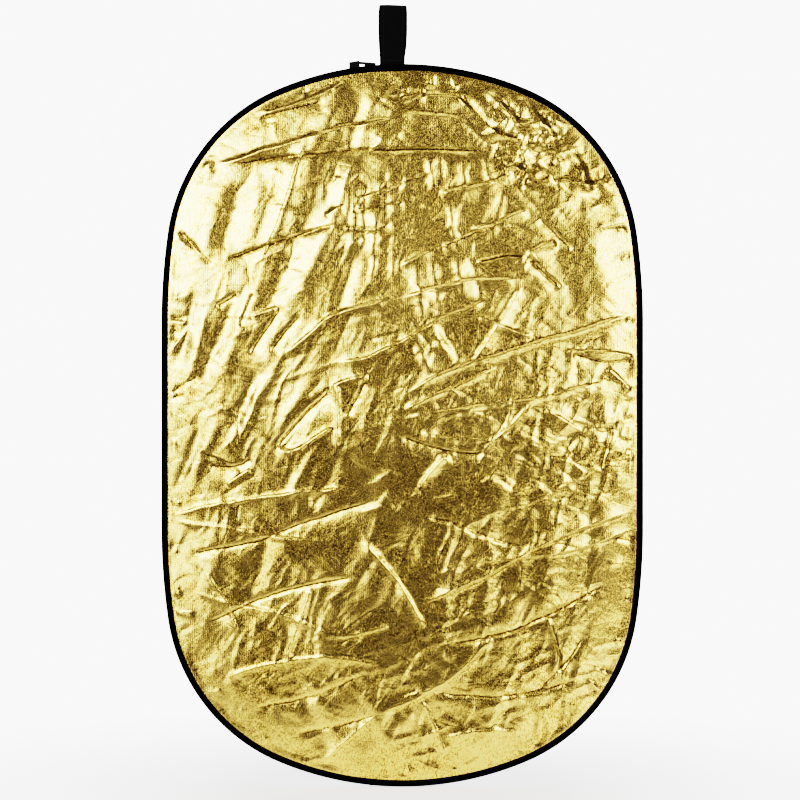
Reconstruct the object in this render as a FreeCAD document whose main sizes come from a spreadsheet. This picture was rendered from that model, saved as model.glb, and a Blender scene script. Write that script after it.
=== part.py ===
"""Collapsible oval reflector: a sprung-steel hoop carrying a diffuser, inside a zipped reversible cover.

Row frame: +Z up through the carrying loop, +Y out of the back of the disc, origin at the centre of the
oval in the middle of its thickness. Millimetres.

Every rim part follows one oval outline. "Inset" is the distance inward from that outline, and "level" is
the distance from the middle of the thickness, so a rim part is a ring between two insets and two levels.
"""
import FreeCAD, Part
import math
import os
import re

import Sketcher

VECTOR = FreeCAD.Vector
DIMENSIONS = [
    # the oval outline, in tangent arcs from the top: crown, shoulder, flank, then a straight side
    ("half_width", 400.0, "centre to the side of the oval"),
    ("half_height", 600.0, "centre to the top of the oval"),
    ("crown_radius", 530.0, "arc over the top and under the bottom"),
    ("crown_angle", 22.7, "degrees from the vertical to the crown's end"),
    ("shoulder_radius", 306.0, "tight arc at each of the four shoulders"),
    ("flank_radius", 1061.0, "slow arc from a shoulder to the straight side"),
    # cover: two laminated panels, each with a folded border
    ("border_outer", 0.8, "inset of the border's folded edge"),
    ("border_inner", 10.4, "inset of the border's inner edge"),
    ("border_level", 6.5, "level of the border's outside face"),
    ("ribbon_thickness", 0.5, "border ribbon"),
    ("cloth_thickness", 0.3, "each cover cloth and the diffuser cloth"),
    ("cloth_outer", 1.4, "inset of the cover cloths' edge"),
    # zip and closed side, between the two borders
    ("tape_outer", 2.05, "inset of the zip tape's outside face"),
    ("tape_thickness", 0.6, "zip tape"),
    ("tape_edge_level", 0.8, "level where the zip tape's free edge ends"),
    ("coil_depth", 2.0, "coil, from the outline inward"),
    ("coil_near_level", 0.5, "level of the coil's inside"),
    ("coil_far_level", 3.3, "level of the coil's outside"),
    ("zip_start", -50.0, "X where the zip tapes begin, left of the loop"),
    ("coil_start", -69.7, "X where the coils begin"),
    ("stop_start", -69.6, "X of the top stops' end that meets the slider"),
    ("stop_length", 3.0, "top stops along X"),
    ("stop_level", 3.9, "level of the stops' outside"),
    ("foot_stop_length", 4.0, "bottom stop along X"),
    ("foot_stop_proud", 0.6, "bottom stop outside the outline"),
    # diffuser: cloth, binding and sprung hoop
    ("binding_outer", 4.6, "inset of the diffuser binding's outside"),
    ("binding_tunnel_end", 9.2, "inset where the tunnel round the hoop closes"),
    ("binding_inner", 14.2, "inset of the binding's sewn edge"),
    ("binding_level", 3.6, "level of the tunnel's outside face"),
    ("binding_flat_level", 0.75, "level of the sewn part's outside face"),
    ("diffuser_outer", 9.7, "inset of the diffuser cloth's edge"),
    ("hoop_outer", 5.6, "inset of the steel band's outside"),
    ("hoop_thickness", 1.0, "steel band, across its thin way"),
    ("hoop_half_depth", 2.5, "half of the steel band's width"),
    ("hoop_gap", 1.0, "gap between the band's ends, in the sleeve"),
    ("sleeve_length", 40.0, "crimp sleeve over the band's joint"),
    ("sleeve_wall", 0.43, "crimp sleeve"),
    ("sleeve_play", 0.02, "between the band and the sleeve"),
    # carrying loop of webbing
    ("loop_centre", -15.8, "X of the loop's middle"),
    ("loop_width", 48.0, "webbing width"),
    ("webbing_thickness", 1.6, "one layer of webbing"),
    ("loop_pivot_height", 602.0, "Z of the bend at the loop's root"),
    ("loop_top_height", 698.5, "Z of the loop's top"),
    ("loop_bulge", 13.0, "radius of the loop's open end"),
    ("loop_neck_height", 613.0, "Z where the two layers part"),
    ("loop_foot_level", 4.3, "level of the sewn foot's edge"),
    ("loop_foot_outer", 0.4, "inset of the sewn foot's top"),
    ("loop_foot_play", 0.05, "between the foot and the tape under it"),
    ("tack_length", 36.0, "bar tack along X"),
    ("tack_height", 2.0, "bar tack along Z"),
    ("tack_proud", 0.4, "bar tack off the webbing"),
    ("tack_base", 605.0, "Z of the bar tack's lower edge"),
    # zip slider, in its own frame: X along the rim, Z outward from the outline
    ("slider_angle", 8.6, "degrees the parked slider lies left of the top"),
    ("slider_length", 18.0, "slider along the rim"),
    ("plate_half_width", 5.75, "half of the top plate's width"),
    ("plate_low", 0.2, "top plate's underside above the outline"),
    ("plate_high", 3.4, "top plate's upper face above the outline"),
    ("plate_corner", 2.2, "corners of both plates, seen from above"),
    ("plate_crown", 1.2, "rounding along the top plate's upper edges"),
    ("flange_near", 3.6, "flange's inside level"),
    ("flange_far", 4.6, "flange's outside level"),
    ("flange_reach", 1.7, "flange below the outline"),
    ("base_half_width", 3.9, "half of the bottom plate's width"),
    ("base_high", 2.85, "bottom plate's upper face below the outline"),
    ("base_low", 4.2, "bottom plate's lower face below the outline"),
    ("post_half", 0.35, "half of the post's thickness"),
    ("post_start", 5.0, "post's near end"),
    ("post_end", 8.0, "post's far end"),
    ("cap_foot", 8.2, "lock cap's half length where it meets the plate"),
    ("cap_top_start", 8.0, "slider's middle to the near end of the lock cap's top"),
    ("cap_top_end", 9.6, "slider's middle to the far end of the lock cap's top"),
    ("cap_height", 10.4, "lock cap's top above the outline"),
    ("cap_half_width", 1.6, "half of the lock cap's width"),
    ("cap_corner", 1.0, "lock cap's upper corners"),
    ("eye_play", 0.2, "between the pull's crossbar and its eye in the cap"),
    # zip pull, in its own frame: X from the pivot to the tip
    ("pivot_reach", 3.0, "pivot from the slider's middle, towards the loop"),
    ("pivot_height", 8.3, "pivot above the outline"),
    ("pull_droop", 13.0, "degrees the resting pull slopes down"),
    ("pull_length", 33.5, "pivot to tip"),
    ("pull_thickness", 3.2, "pull plate"),
    ("pull_half_width", 4.0, "half of the pull's width"),
    ("pull_back", 1.7, "pivot to the pull's back end"),
    ("pull_corner", 2.6, "corners at the pull's tip"),
    ("bar_radius", 0.9, "crossbar through the cap"),
    ("window_half", 2.0, "half of the window between the pull's arms"),
    ("window_end", 12.4, "pivot to the window's far end"),
    ("heel_start", 15.0, "pivot to the steep end of the thumb heel under the pull"),
    ("heel_end", 31.0, "pivot to the thin end of the thumb heel"),
    ("heel_deep", 2.9, "thumb heel below the pull plate at its steep end"),
    ("heel_shallow", 0.1, "thumb heel below the pull plate at its thin end"),
    ("heel_half_width", 3.2, "half of the thumb heel's width"),
    ("grip_start", 20.5, "pivot to the grip slot"),
    ("grip_end", 28.5, "pivot to the grip slot's far end"),
    ("grip_half", 1.5, "half of the grip slot's width"),
    ("grip_corner", 1.2, "grip slot's corners"),
]

ALIASES = {row[0] for row in DIMENSIONS}

doc = FreeCAD.newDocument("collapsible_reflector")
sheet = doc.addObject("Spreadsheet::Sheet", "Dimensions")
for row, (alias, number, meaning) in enumerate(DIMENSIONS, start=1):
    sheet.set(f"A{row}", meaning)
    sheet.set(f"B{row}", str(number))
    sheet.setAlias(f"B{row}", alias)
doc.recompute()


def size(alias):
    """A driving dimension's value."""
    return float(getattr(sheet, alias))


def worked_out(text):
    """The value of a sum of dimensions such as "half_height - crown_radius"; a term may end in "/2"."""
    total, sign = 0.0, 1
    for token in text.split():
        if token in ("+", "-"):
            sign = 1 if token == "+" else -1
        else:
            name, _, divisor = token.partition("/")
            number = size(name) if name in ALIASES else float(name)
            total += sign * number / float(divisor or 1)
            sign = 1
    return total


def bound(text):
    """A FreeCAD expression in which every dimension's name points at the sheet."""
    return re.sub("[a-z_]+", lambda word: "Dimensions." + word[0] if word[0] in ALIASES else word[0], text)


def bind(item, **expressions):
    """Ties properties of an object to expressions; a double underscore stands for a dot."""
    for name, text in expressions.items():
        item.setExpression(name.replace("__", "."), bound(text))


def driven(sketch, text, *constraint):
    """Adds a sketch constraint whose value follows the sheet."""
    number = sketch.addConstraint(Sketcher.Constraint(*constraint, worked_out(text)))
    sketch.setExpression(f"Constraints[{number}]", bound(text))


# ---------------------------------------------------------------- the oval outline
def outline_geometry():
    """The outline's arcs for one quarter: centres, radii and end angles, from the driving dimensions."""
    crown, shoulder, flank = size("crown_radius"), size("shoulder_radius"), size("flank_radius")
    first = math.radians(size("crown_angle"))
    reach = size("half_width") - flank - (crown - shoulder) * math.sin(first)
    second = math.asin(reach / (shoulder - flank))
    crown_centre = VECTOR(0, size("half_height") - crown, 0)
    shoulder_centre = crown_centre + VECTOR(math.sin(first), math.cos(first), 0) * (crown - shoulder)
    flank_centre = shoulder_centre - VECTOR(math.sin(second), math.cos(second), 0) * (flank - shoulder)
    return first, second, crown_centre, shoulder_centre, flank_centre


def arc(centre, radius, start, end):
    """An anticlockwise arc between two angles measured from +X, in radians."""
    return Part.ArcOfCircle(Part.Circle(centre, VECTOR(0, 0, 1), radius), start, end)


def make_outline():
    """One closed, fully constrained sketch in the XZ plane, anticlockwise from the crown's right end."""
    sketch = doc.addObject("Sketcher::SketchObject", "outline")
    sketch.Placement = FreeCAD.Placement(VECTOR(), FreeCAD.Rotation(VECTOR(1, 0, 0), 90))
    first, second, crown_centre, shoulder_centre, flank_centre = outline_geometry()
    crown, shoulder, flank = size("crown_radius"), size("shoulder_radius"), size("flank_radius")
    side, quarter = size("half_width"), math.pi / 2

    def flipped(centre, right, top):
        return VECTOR(centre.x * right, centre.y * top, 0)

    def turned(start, end, right, top):
        """The same arc of the top right quarter in another quarter."""
        if right < 0:
            start, end = math.pi - end, math.pi - start
        if top < 0:
            start, end = -end, -start
        return start, end

    pieces = [arc(crown_centre, crown, quarter - first, quarter + first)]
    for right, top in ((-1, 1), (-1, -1), (1, -1), (1, 1)):
        upper = arc(flipped(shoulder_centre, right, top), shoulder,
                    *turned(quarter - second, quarter - first, right, top))
        lower = arc(flipped(flank_centre, right, top), flank, *turned(0, quarter - second, right, top))
        straight = Part.LineSegment(VECTOR(side * right, -flank_centre.y * right, 0),
                                    VECTOR(side * right, flank_centre.y * right, 0))
        if (right, top) == (-1, 1):
            pieces += [upper, lower, straight]
        elif (right, top) == (-1, -1):
            bottom = arc(flipped(crown_centre, 1, -1), crown, -quarter - first, -quarter + first)
            pieces += [lower, upper, bottom]
        elif (right, top) == (1, -1):
            pieces += [upper, lower, straight]
        else:
            pieces += [lower, upper]
    for piece in pieces:
        sketch.addGeometry(piece, False)
    # geometry order: crown, shoulder, flank, side, flank, shoulder, base, and the same up the right
    count = len(pieces)
    for index in range(count):
        sketch.addConstraint(Sketcher.Constraint("Tangent", index, 2, (index + 1) % count, 1))

    for index, cell in ((0, "crown_radius"), (6, "crown_radius"), (2, "flank_radius"), (10, "flank_radius"),
                        (1, "shoulder_radius"), (5, "shoulder_radius"),
                        (7, "shoulder_radius"), (11, "shoulder_radius")):
        driven(sketch, cell, "Radius", index)
    sketch.addConstraint(Sketcher.Constraint("PointOnObject", 0, 3, -2))
    driven(sketch, "half_height - crown_radius", "DistanceY", -1, 1, 0, 3)
    sketch.addConstraint(Sketcher.Constraint("Symmetric", 0, 3, 6, 3, -1, 1))
    for left, right in (((-1, 1), (0, 1)), ((0, 2), (-1, 1)), ((6, 1), (-1, 1)), ((-1, 1), (6, 2))):
        number = sketch.addConstraint(
            Sketcher.Constraint("DistanceX", *left, *right, crown * math.sin(first)))
        sketch.setExpression(f"Constraints[{number}]", bound("crown_radius * sin(crown_angle * 1 deg)"))
    for index, left, right in ((3, (3, 1), (-1, 1)), (9, (-1, 1), (9, 1))):
        driven(sketch, "half_width", "DistanceX", *left, *right)
        sketch.addConstraint(Sketcher.Constraint("Symmetric", index, 1, index, 2, -1))
    return sketch


OUTLINE = make_outline()
doc.recompute()


# ---------------------------------------------------------------- rings and plates along the outline
def inset_wire(name, inset, source=None, fill=False):
    """The outline, or another wire, moved inward; filled, it is the flat ring between the two."""
    wire = doc.addObject("Part::Offset2D", name)
    wire.Source = source or OUTLINE
    bind(wire, Value=f"-({inset})")
    wire.Fill = fill
    return wire


def through(name, face, low, high):
    """A flat face or wire of the XZ plane made solid between two levels along Y."""
    solid = doc.addObject("Part::Extrusion", name)
    solid.Base = face
    solid.DirMode = "Custom"
    solid.Dir = VECTOR(0, 1, 0)
    solid.Solid = True
    bind(solid, LengthFwd=high, LengthRev=f"-({low})")
    return solid


def ring(name, outer, inner, low, high):
    """A rim part of rectangular section: between two insets and two levels."""
    edge = OUTLINE if outer == "0" else inset_wire(name + "_edge", outer)
    return through(name, inset_wire(name + "_face", f"{inner} - ({outer})", edge, True), low, high)


def plate(name, inset, low, high):
    """A flat cloth that fills the whole oval out to an inset."""
    return through(name, inset_wire(name + "_edge", inset), low, high)


def box(name, low, high):
    """A bounding block between two corners, each a triple of expressions."""
    block = doc.addObject("Part::Box", name)
    for axis, start, length, end in zip("xyz", low, ("Length", "Width", "Height"), high):
        block.setExpression(f"Placement.Base.{axis}", bound(start))
        block.setExpression(length, bound(f"{end} - ({start})"))
    return block


def rim_block(name, start, end, top=None):
    """A block that takes the rim between two X positions: all of it, or only at the top or the bottom."""
    low, high = "-2 * half_height", "2 * half_height"
    if top is not None:
        low, high = ("0", high) if top else (low, "0")
    return box(name, (start, "-2 * border_level", low), (end, "2 * border_level", high))


def joined(name, *shapes):
    fuse = doc.addObject("Part::MultiFuse", name)
    fuse.Shapes = list(shapes)
    fuse.Refine = True
    return fuse


def less(name, base, tool):
    cut = doc.addObject("Part::Cut", name)
    cut.Base, cut.Tool = base, tool
    return cut


def shared(name, *shapes):
    common = doc.addObject("Part::MultiCommon", name)
    common.Shapes = list(shapes)
    return common


NODES = []


def node(name, item):
    """Names a finished sub-part, which is then written to a file of that name."""
    item.Label = name
    NODES.append(item)
    return item


def levels(back, near, far):
    """Low and high level of a layer on the front (-Y) or the back (+Y)."""
    return (near, far) if back else (f"-({far})", f"-({near})")


# ---------------------------------------------------------------- cover
FAR_LEFT, FAR_RIGHT = "-2 * half_width", "2 * half_width"
CLOTH_FAR = "border_level - ribbon_thickness"
CLOTH_MIDDLE = "border_level - ribbon_thickness - cloth_thickness"
CLOTH_NEAR = "border_level - ribbon_thickness - 2 * cloth_thickness"
BORDER_NEAR = "border_level - 2 * ribbon_thickness - 2 * cloth_thickness"
TAPE_NEAR = f"{BORDER_NEAR} - tape_thickness"


def make_cloths():
    """Each cover panel is two cloths laid together: a metallised face outside and a plain lining inside."""
    for back, face, lining in ((False, "gold_cloth", "white_lining"), (True, "silver_cloth", "black_lining")):
        node(face, plate(face, "cloth_outer", *levels(back, CLOTH_MIDDLE, CLOTH_FAR)))
        node(lining, plate(lining, "cloth_outer", *levels(back, CLOTH_NEAR, CLOTH_MIDDLE)))


def make_borders():
    """A ribbon folded over each panel's edge, open inward, with the two cloths in its fold."""
    for back, name in ((False, "front_border"), (True, "back_border")):
        folded = ring(name + "_fold", "border_outer", "border_inner",
                      *levels(back, BORDER_NEAR, "border_level"))
        slot = ring(name + "_slot", "border_outer + ribbon_thickness", "border_inner + 1",
                    *levels(back, CLOTH_NEAR, CLOTH_FAR))
        node(name, less(name, folded, slot))


def make_zip_tapes():
    """An angled tape on each side of the zip: flat against the border, then turned in towards the coil."""
    for back, name in ((False, "zip_tape_front"), (True, "zip_tape_back")):
        flat = ring(name + "_flat", "tape_outer", "border_inner", *levels(back, TAPE_NEAR, BORDER_NEAR))
        turned = ring(name + "_turned", "tape_outer", "tape_outer + tape_thickness",
                      *levels(back, "tape_edge_level", TAPE_NEAR))
        side = rim_block(name + "_side", FAR_LEFT, "zip_start")
        node(name, shared(name, joined(name + "_ring", flat, turned), side))


def make_zip_coils():
    """The coil on each tape, from the top stops down the left side to the bottom stop."""
    for back, name in ((False, "zip_coil_front"), (True, "zip_coil_back")):
        whole = ring(name + "_ring", "0", "coil_depth", *levels(back, "coil_near_level", "coil_far_level"))
        side = rim_block(name + "_side", FAR_LEFT, "zip_start - foot_stop_length - 0.1")
        tail = rim_block(name + "_tail", "coil_start", "0", top=True)
        node(name, less(name, shared(name + "_left", whole, side), tail))


def make_zip_stops():
    """Two top stops that end the slider's travel, one per coil, and one bottom stop across both."""
    room = rim_block("top_stop_room", "stop_start", "stop_start + stop_length", top=True)
    pair = [shared(f"top_stop_{back}", ring(f"top_stop_ring_{back}", "0", "coil_depth",
                                            *levels(back, "coil_near_level", "stop_level")), room)
            for back in (0, 1)]
    stops = doc.addObject("Part::Compound", "zip_top_stops")
    stops.Links = pair
    node("zip_top_stops", stops)
    clip = ring("bottom_stop_ring", "-foot_stop_proud", "coil_depth", "-stop_level", "stop_level")
    foot = rim_block("bottom_stop_room", "zip_start - foot_stop_length", "zip_start", top=False)
    node("zip_bottom_stop", shared("zip_bottom_stop", clip, foot))


def make_closed_side():
    """A channel of tape that joins the two borders all the way round where there is no zip."""
    outside = ring("closed_side_block", "tape_outer", "border_inner", f"-({BORDER_NEAR})", BORDER_NEAR)
    inside = ring("closed_side_channel", "tape_outer + tape_thickness", "border_inner + 1",
                  f"-({TAPE_NEAR})", TAPE_NEAR)
    side = rim_block("closed_side_part", "zip_start", FAR_RIGHT)
    node("closed_side_tape", shared("closed_side_tape", less("closed_side_ring", outside, inside), side))


# ---------------------------------------------------------------- diffuser and hoop
def make_diffuser():
    """The white cloth, with a binding that is a tunnel round the hoop and then sewn flat to the cloth."""
    middle = ("-cloth_thickness / 2", "cloth_thickness / 2")
    node("diffuser_cloth", plate("diffuser_cloth", "diffuser_outer", *middle))
    tunnel = ring("binding_tunnel", "binding_outer", "binding_tunnel_end", "-binding_level", "binding_level")
    sewn = ring("binding_sewn", "binding_tunnel_end - ribbon_thickness", "binding_inner",
                "-binding_flat_level", "binding_flat_level")
    hollow = ring("binding_hollow", "binding_outer + ribbon_thickness",
                  "binding_tunnel_end - ribbon_thickness", "-(binding_level - ribbon_thickness)",
                  "binding_level - ribbon_thickness")
    slot = ring("binding_slot", "diffuser_outer - 0.1", "binding_inner + 1", *middle)
    ribbon = less("binding_open", joined("binding_whole", tunnel, sewn), hollow)
    node("diffuser_binding", less("diffuser_binding", ribbon, slot))


def make_hoop():
    """One flat steel strip bent into the oval, its ends held in a crimped sleeve at the bottom."""
    strip = ring("hoop_strip", "hoop_outer", "hoop_outer + hoop_thickness",
                 "-hoop_half_depth", "hoop_half_depth")
    gap = rim_block("hoop_opening", "-hoop_gap / 2", "hoop_gap / 2", top=False)
    node("hoop_band", less("hoop_band", strip, gap))
    tube = []
    for name, off in (("sleeve_outside", "sleeve_play + sleeve_wall"), ("sleeve_inside", "sleeve_play")):
        tube.append(ring(name, f"hoop_outer - ({off})", f"hoop_outer + hoop_thickness + {off}",
                         f"-(hoop_half_depth + {off})", f"hoop_half_depth + {off}"))
    reach = rim_block("sleeve_reach", "-sleeve_length / 2", "sleeve_length / 2", top=False)
    node("hoop_sleeve", shared("hoop_sleeve", less("sleeve_tube", *tube), reach))


# ---------------------------------------------------------------- bodies drawn with sketches
def new_sketch(body, name, role):
    """An empty sketch on one of a body's own origin planes."""
    sketch = body.newObject("Sketcher::SketchObject", name)
    support = next(item for item in body.Origin.OriginFeatures if item.Role == role)
    sketch.AttachmentSupport = (support, "")
    sketch.MapMode = "FlatFace"
    return sketch


def place_point(sketch, index, end, across, up):
    """Holds an end of a line at two sums of dimensions from the origin."""
    for kind, text, axis in (("DistanceX", across, -2), ("DistanceY", up, -1)):
        amount = worked_out(text)
        if abs(amount) < 1e-9:
            sketch.addConstraint(Sketcher.Constraint("PointOnObject", index, end, axis))
            continue
        ends = ((-1, 1), (index, end)) if amount > 0 else ((index, end), (-1, 1))
        number = sketch.addConstraint(Sketcher.Constraint(kind, *ends[0], *ends[1], abs(amount)))
        sketch.setExpression(f"Constraints[{number}]", bound(text if amount > 0 else f"-({text})"))


def polygon(sketch, corners):
    """A closed loop of lines whose corners are pairs of sums of dimensions."""
    first = sketch.GeometryCount
    places = [VECTOR(worked_out(across), worked_out(up), 0) for across, up in corners]
    for start, end in zip(places, places[1:] + places[:1]):
        sketch.addGeometry(Part.LineSegment(start, end), False)
    count = len(corners)
    for index in range(count):
        following = first + (index + 1) % count
        sketch.addConstraint(Sketcher.Constraint("Coincident", first + index, 2, following, 1))
    for index, (across, up) in enumerate(corners):
        place_point(sketch, first + index, 1, across, up)


def rectangle(sketch, left, right, low, high):
    polygon(sketch, [(left, low), (right, low), (right, high), (left, high)])


def pad(body, sketch, name, length):
    """A pad of a sketch, the same to both sides of its plane."""
    feature = body.newObject("PartDesign::Pad", name)
    feature.Profile = sketch
    feature.SideType = "Symmetric"
    bind(feature, Length=length)
    doc.recompute()
    return feature


def pocket(body, sketch, name):
    """A pocket of a sketch right through the body, both ways."""
    before = body.Shape.Volume
    feature = body.newObject("PartDesign::Pocket", name)
    feature.Profile = sketch
    feature.SideType = "Symmetric"
    feature.Type = "ThroughAll"
    doc.recompute()
    if body.Shape.Volume > before - 1e-6:
        raise RuntimeError(f"{name} cuts nothing")
    return feature


def rounded(body, base, name, radius, chosen):
    """Fillets the edges of a feature that a test picks."""
    names = [f"Edge{number}" for number, edge in enumerate(base.Shape.Edges, start=1) if chosen(edge)]
    if not names:
        raise RuntimeError(f"{name} finds no edge")
    fillet = body.newObject("PartDesign::Fillet", name)
    fillet.Base = (base, names)
    bind(fillet, Radius=radius)
    doc.recompute()
    return fillet


def along(edge, axis):
    """Whether a straight edge runs along an axis."""
    straight = edge.Curve.TypeId == "Part::GeomLine"
    return straight and abs(edge.tangentAt(edge.FirstParameter).dot(axis)) > 0.999


def make_carrying_loop():
    """Webbing doubled over: two layers sewn together at the neck, opening into a drop-shaped loop."""
    body = doc.addObject("PartDesign::Body", "carrying_loop")
    sketch = new_sketch(body, "loop_side", "YZ_Plane")
    layer, bulge = size("webbing_thickness"), size("loop_bulge")
    root, neck = size("loop_pivot_height"), size("loop_neck_height")
    centre = VECTOR(0, worked_out("loop_top_height - loop_bulge"), 0)
    rise = centre.y - neck
    lean = math.asin((bulge - layer * 0.98) / math.hypot(rise, layer)) if rise else 0.0
    touch = VECTOR(math.cos(lean), -math.sin(lean), 0)
    corners = [VECTOR(-layer, neck, 0), VECTOR(-layer, root, 0),
               VECTOR(layer, root, 0), VECTOR(layer, neck, 0)]
    right, left = centre + touch * bulge, centre + VECTOR(-touch.x, touch.y, 0) * bulge
    outside = [(left, corners[0])] + list(zip(corners, corners[1:])) + [(corners[3], right)]
    for start, end in outside:
        sketch.addGeometry(Part.LineSegment(start, end), False)
    sketch.addGeometry(arc(centre, bulge, -lean, math.pi + lean), False)
    inner, meeting = bulge - layer, VECTOR(0, neck + layer / 10, 0)
    inner_right, inner_left = centre + touch * inner, centre + VECTOR(-touch.x, touch.y, 0) * inner
    sketch.addGeometry(Part.LineSegment(inner_left, meeting), False)
    sketch.addGeometry(Part.LineSegment(meeting, inner_right), False)
    sketch.addGeometry(arc(centre, inner, -lean, math.pi + lean), False)
    for index in range(4):
        sketch.addConstraint(Sketcher.Constraint("Coincident", index, 2, index + 1, 1))
    sketch.addConstraint(Sketcher.Constraint("Tangent", 4, 2, 5, 1))
    sketch.addConstraint(Sketcher.Constraint("Tangent", 5, 2, 0, 1))
    sketch.addConstraint(Sketcher.Constraint("Coincident", 6, 2, 7, 1))
    sketch.addConstraint(Sketcher.Constraint("Tangent", 7, 2, 8, 1))
    sketch.addConstraint(Sketcher.Constraint("Tangent", 8, 2, 6, 1))
    driven(sketch, "loop_bulge", "Radius", 5)
    driven(sketch, "loop_bulge - webbing_thickness", "Radius", 8)
    sketch.addConstraint(Sketcher.Constraint("PointOnObject", 5, 3, -2))
    driven(sketch, "loop_top_height - loop_bulge", "DistanceY", -1, 1, 5, 3)
    sketch.addConstraint(Sketcher.Constraint("Coincident", 8, 3, 5, 3))
    sketch.addConstraint(Sketcher.Constraint("PointOnObject", 6, 2, -2))
    sketch.addConstraint(Sketcher.Constraint("Parallel", 6, 0))
    for index, across, up in ((1, "- webbing_thickness", "loop_neck_height"),
                              (2, "- webbing_thickness", "loop_pivot_height"),
                              (3, "webbing_thickness", "loop_pivot_height"),
                              (4, "webbing_thickness", "loop_neck_height")):
        place_point(sketch, index, 1, across, up)
    pad(body, sketch, "loop_webbing", "loop_width")
    bind(body, Placement__Base__x="loop_centre")
    node("carrying_loop", body)


def make_loop_fittings():
    """The webbing's sewn-down foot on the rim, and a bar tack on each side of the neck."""
    strip = ring("foot_strip", "loop_foot_outer", "tape_outer - loop_foot_play",
                 "-loop_foot_level", "loop_foot_level")
    room = rim_block("foot_room", "loop_centre - loop_width / 2", "loop_centre + loop_width / 2", top=True)
    node("loop_foot", shared("loop_foot", strip, room))
    tacks = []
    for back in (0, 1):
        near_face, far_face = levels(back, "webbing_thickness", "webbing_thickness + tack_proud")
        tacks.append(box(f"tack_{back}", ("loop_centre - tack_length / 2", near_face, "tack_base"),
                         ("loop_centre + tack_length / 2", far_face, "tack_base + tack_height")))
    pair = doc.addObject("Part::Compound", "loop_bar_tack")
    pair.Links = tacks
    node("loop_bar_tack", pair)


def upright_edges(shape_test):
    """A test for straight edges along Z whose middle passes a further test."""
    return lambda edge: along(edge, VECTOR(0, 0, 1)) and shape_test(edge.CenterOfMass)


def near(first, second):
    return abs(first - second) < 0.01


def make_slider():
    """Cast slider: a top plate whose flanges wrap the coils, a post, a bottom plate and a lock cap."""
    body = doc.addObject("PartDesign::Body", "zip_slider")
    top = new_sketch(body, "top_section", "YZ_Plane")
    half = [("plate_half_width", "plate_high"), ("plate_half_width", "plate_low"),
            ("flange_far", "plate_low"), ("flange_far", "- flange_reach"),
            ("flange_near", "- flange_reach"), ("flange_near", "plate_low")]
    polygon(top, half + [("- " + across, up) for across, up in reversed(half)])
    plate = pad(body, top, "top_plate", "slider_length")
    wide, narrow = size("plate_half_width"), size("base_half_width")
    plate = rounded(body, plate, "top_corners", "plate_corner",
                    upright_edges(lambda at: near(abs(at.y), wide)))
    rounded(body, plate, "top_crown", "plate_crown", lambda edge: along(edge, VECTOR(1, 0, 0))
            and near(edge.CenterOfMass.z, size("plate_high")))
    post = new_sketch(body, "post_side", "XZ_Plane")
    rectangle(post, "post_start", "post_end", "- base_low", "plate_high")
    pad(body, post, "post", "2 * post_half")
    base = new_sketch(body, "base_side", "XZ_Plane")
    rectangle(base, "- slider_length/2", "slider_length/2", "- base_low", "- base_high")
    lower = pad(body, base, "bottom_plate", "2 * base_half_width")
    rounded(body, lower, "bottom_corners", "plate_corner",
            upright_edges(lambda at: near(abs(at.y), narrow) and at.z < -size("base_high")))
    cap = new_sketch(body, "cap_side", "XZ_Plane")
    polygon(cap, [("- cap_foot", "plate_low"), ("cap_foot", "plate_low"),
                  ("cap_top_end", "cap_height"), ("- cap_top_start", "cap_height")])
    cap.addGeometry(Part.Circle(VECTOR(size("pivot_reach"), size("pivot_height"), 0), VECTOR(0, 0, 1),
                                worked_out("bar_radius + eye_play")), False)
    eye = cap.GeometryCount - 1
    driven(cap, "bar_radius + eye_play", "Radius", eye)
    driven(cap, "pivot_reach", "DistanceX", -1, 1, eye, 3)
    driven(cap, "pivot_height", "DistanceY", -1, 1, eye, 3)
    solid = pad(body, cap, "lock_cap", "2 * cap_half_width")
    high = size("cap_height")
    rounded(body, solid, "cap_corners", "cap_corner", lambda edge: along(edge, VECTOR(0, 1, 0))
            and near(edge.CenterOfMass.z, high))
    # parked on the crown arc, left of the top
    body.Placement = FreeCAD.Placement(VECTOR(), FreeCAD.Rotation(VECTOR(0, -1, 0), size("slider_angle")))
    bind(body, Placement__Base__x="-crown_radius * sin(slider_angle * 1 deg)",
         Placement__Base__z="half_height - crown_radius + crown_radius * cos(slider_angle * 1 deg)",
         Placement__Rotation__Angle="slider_angle * 1 deg")
    node("zip_slider", body)


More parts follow.
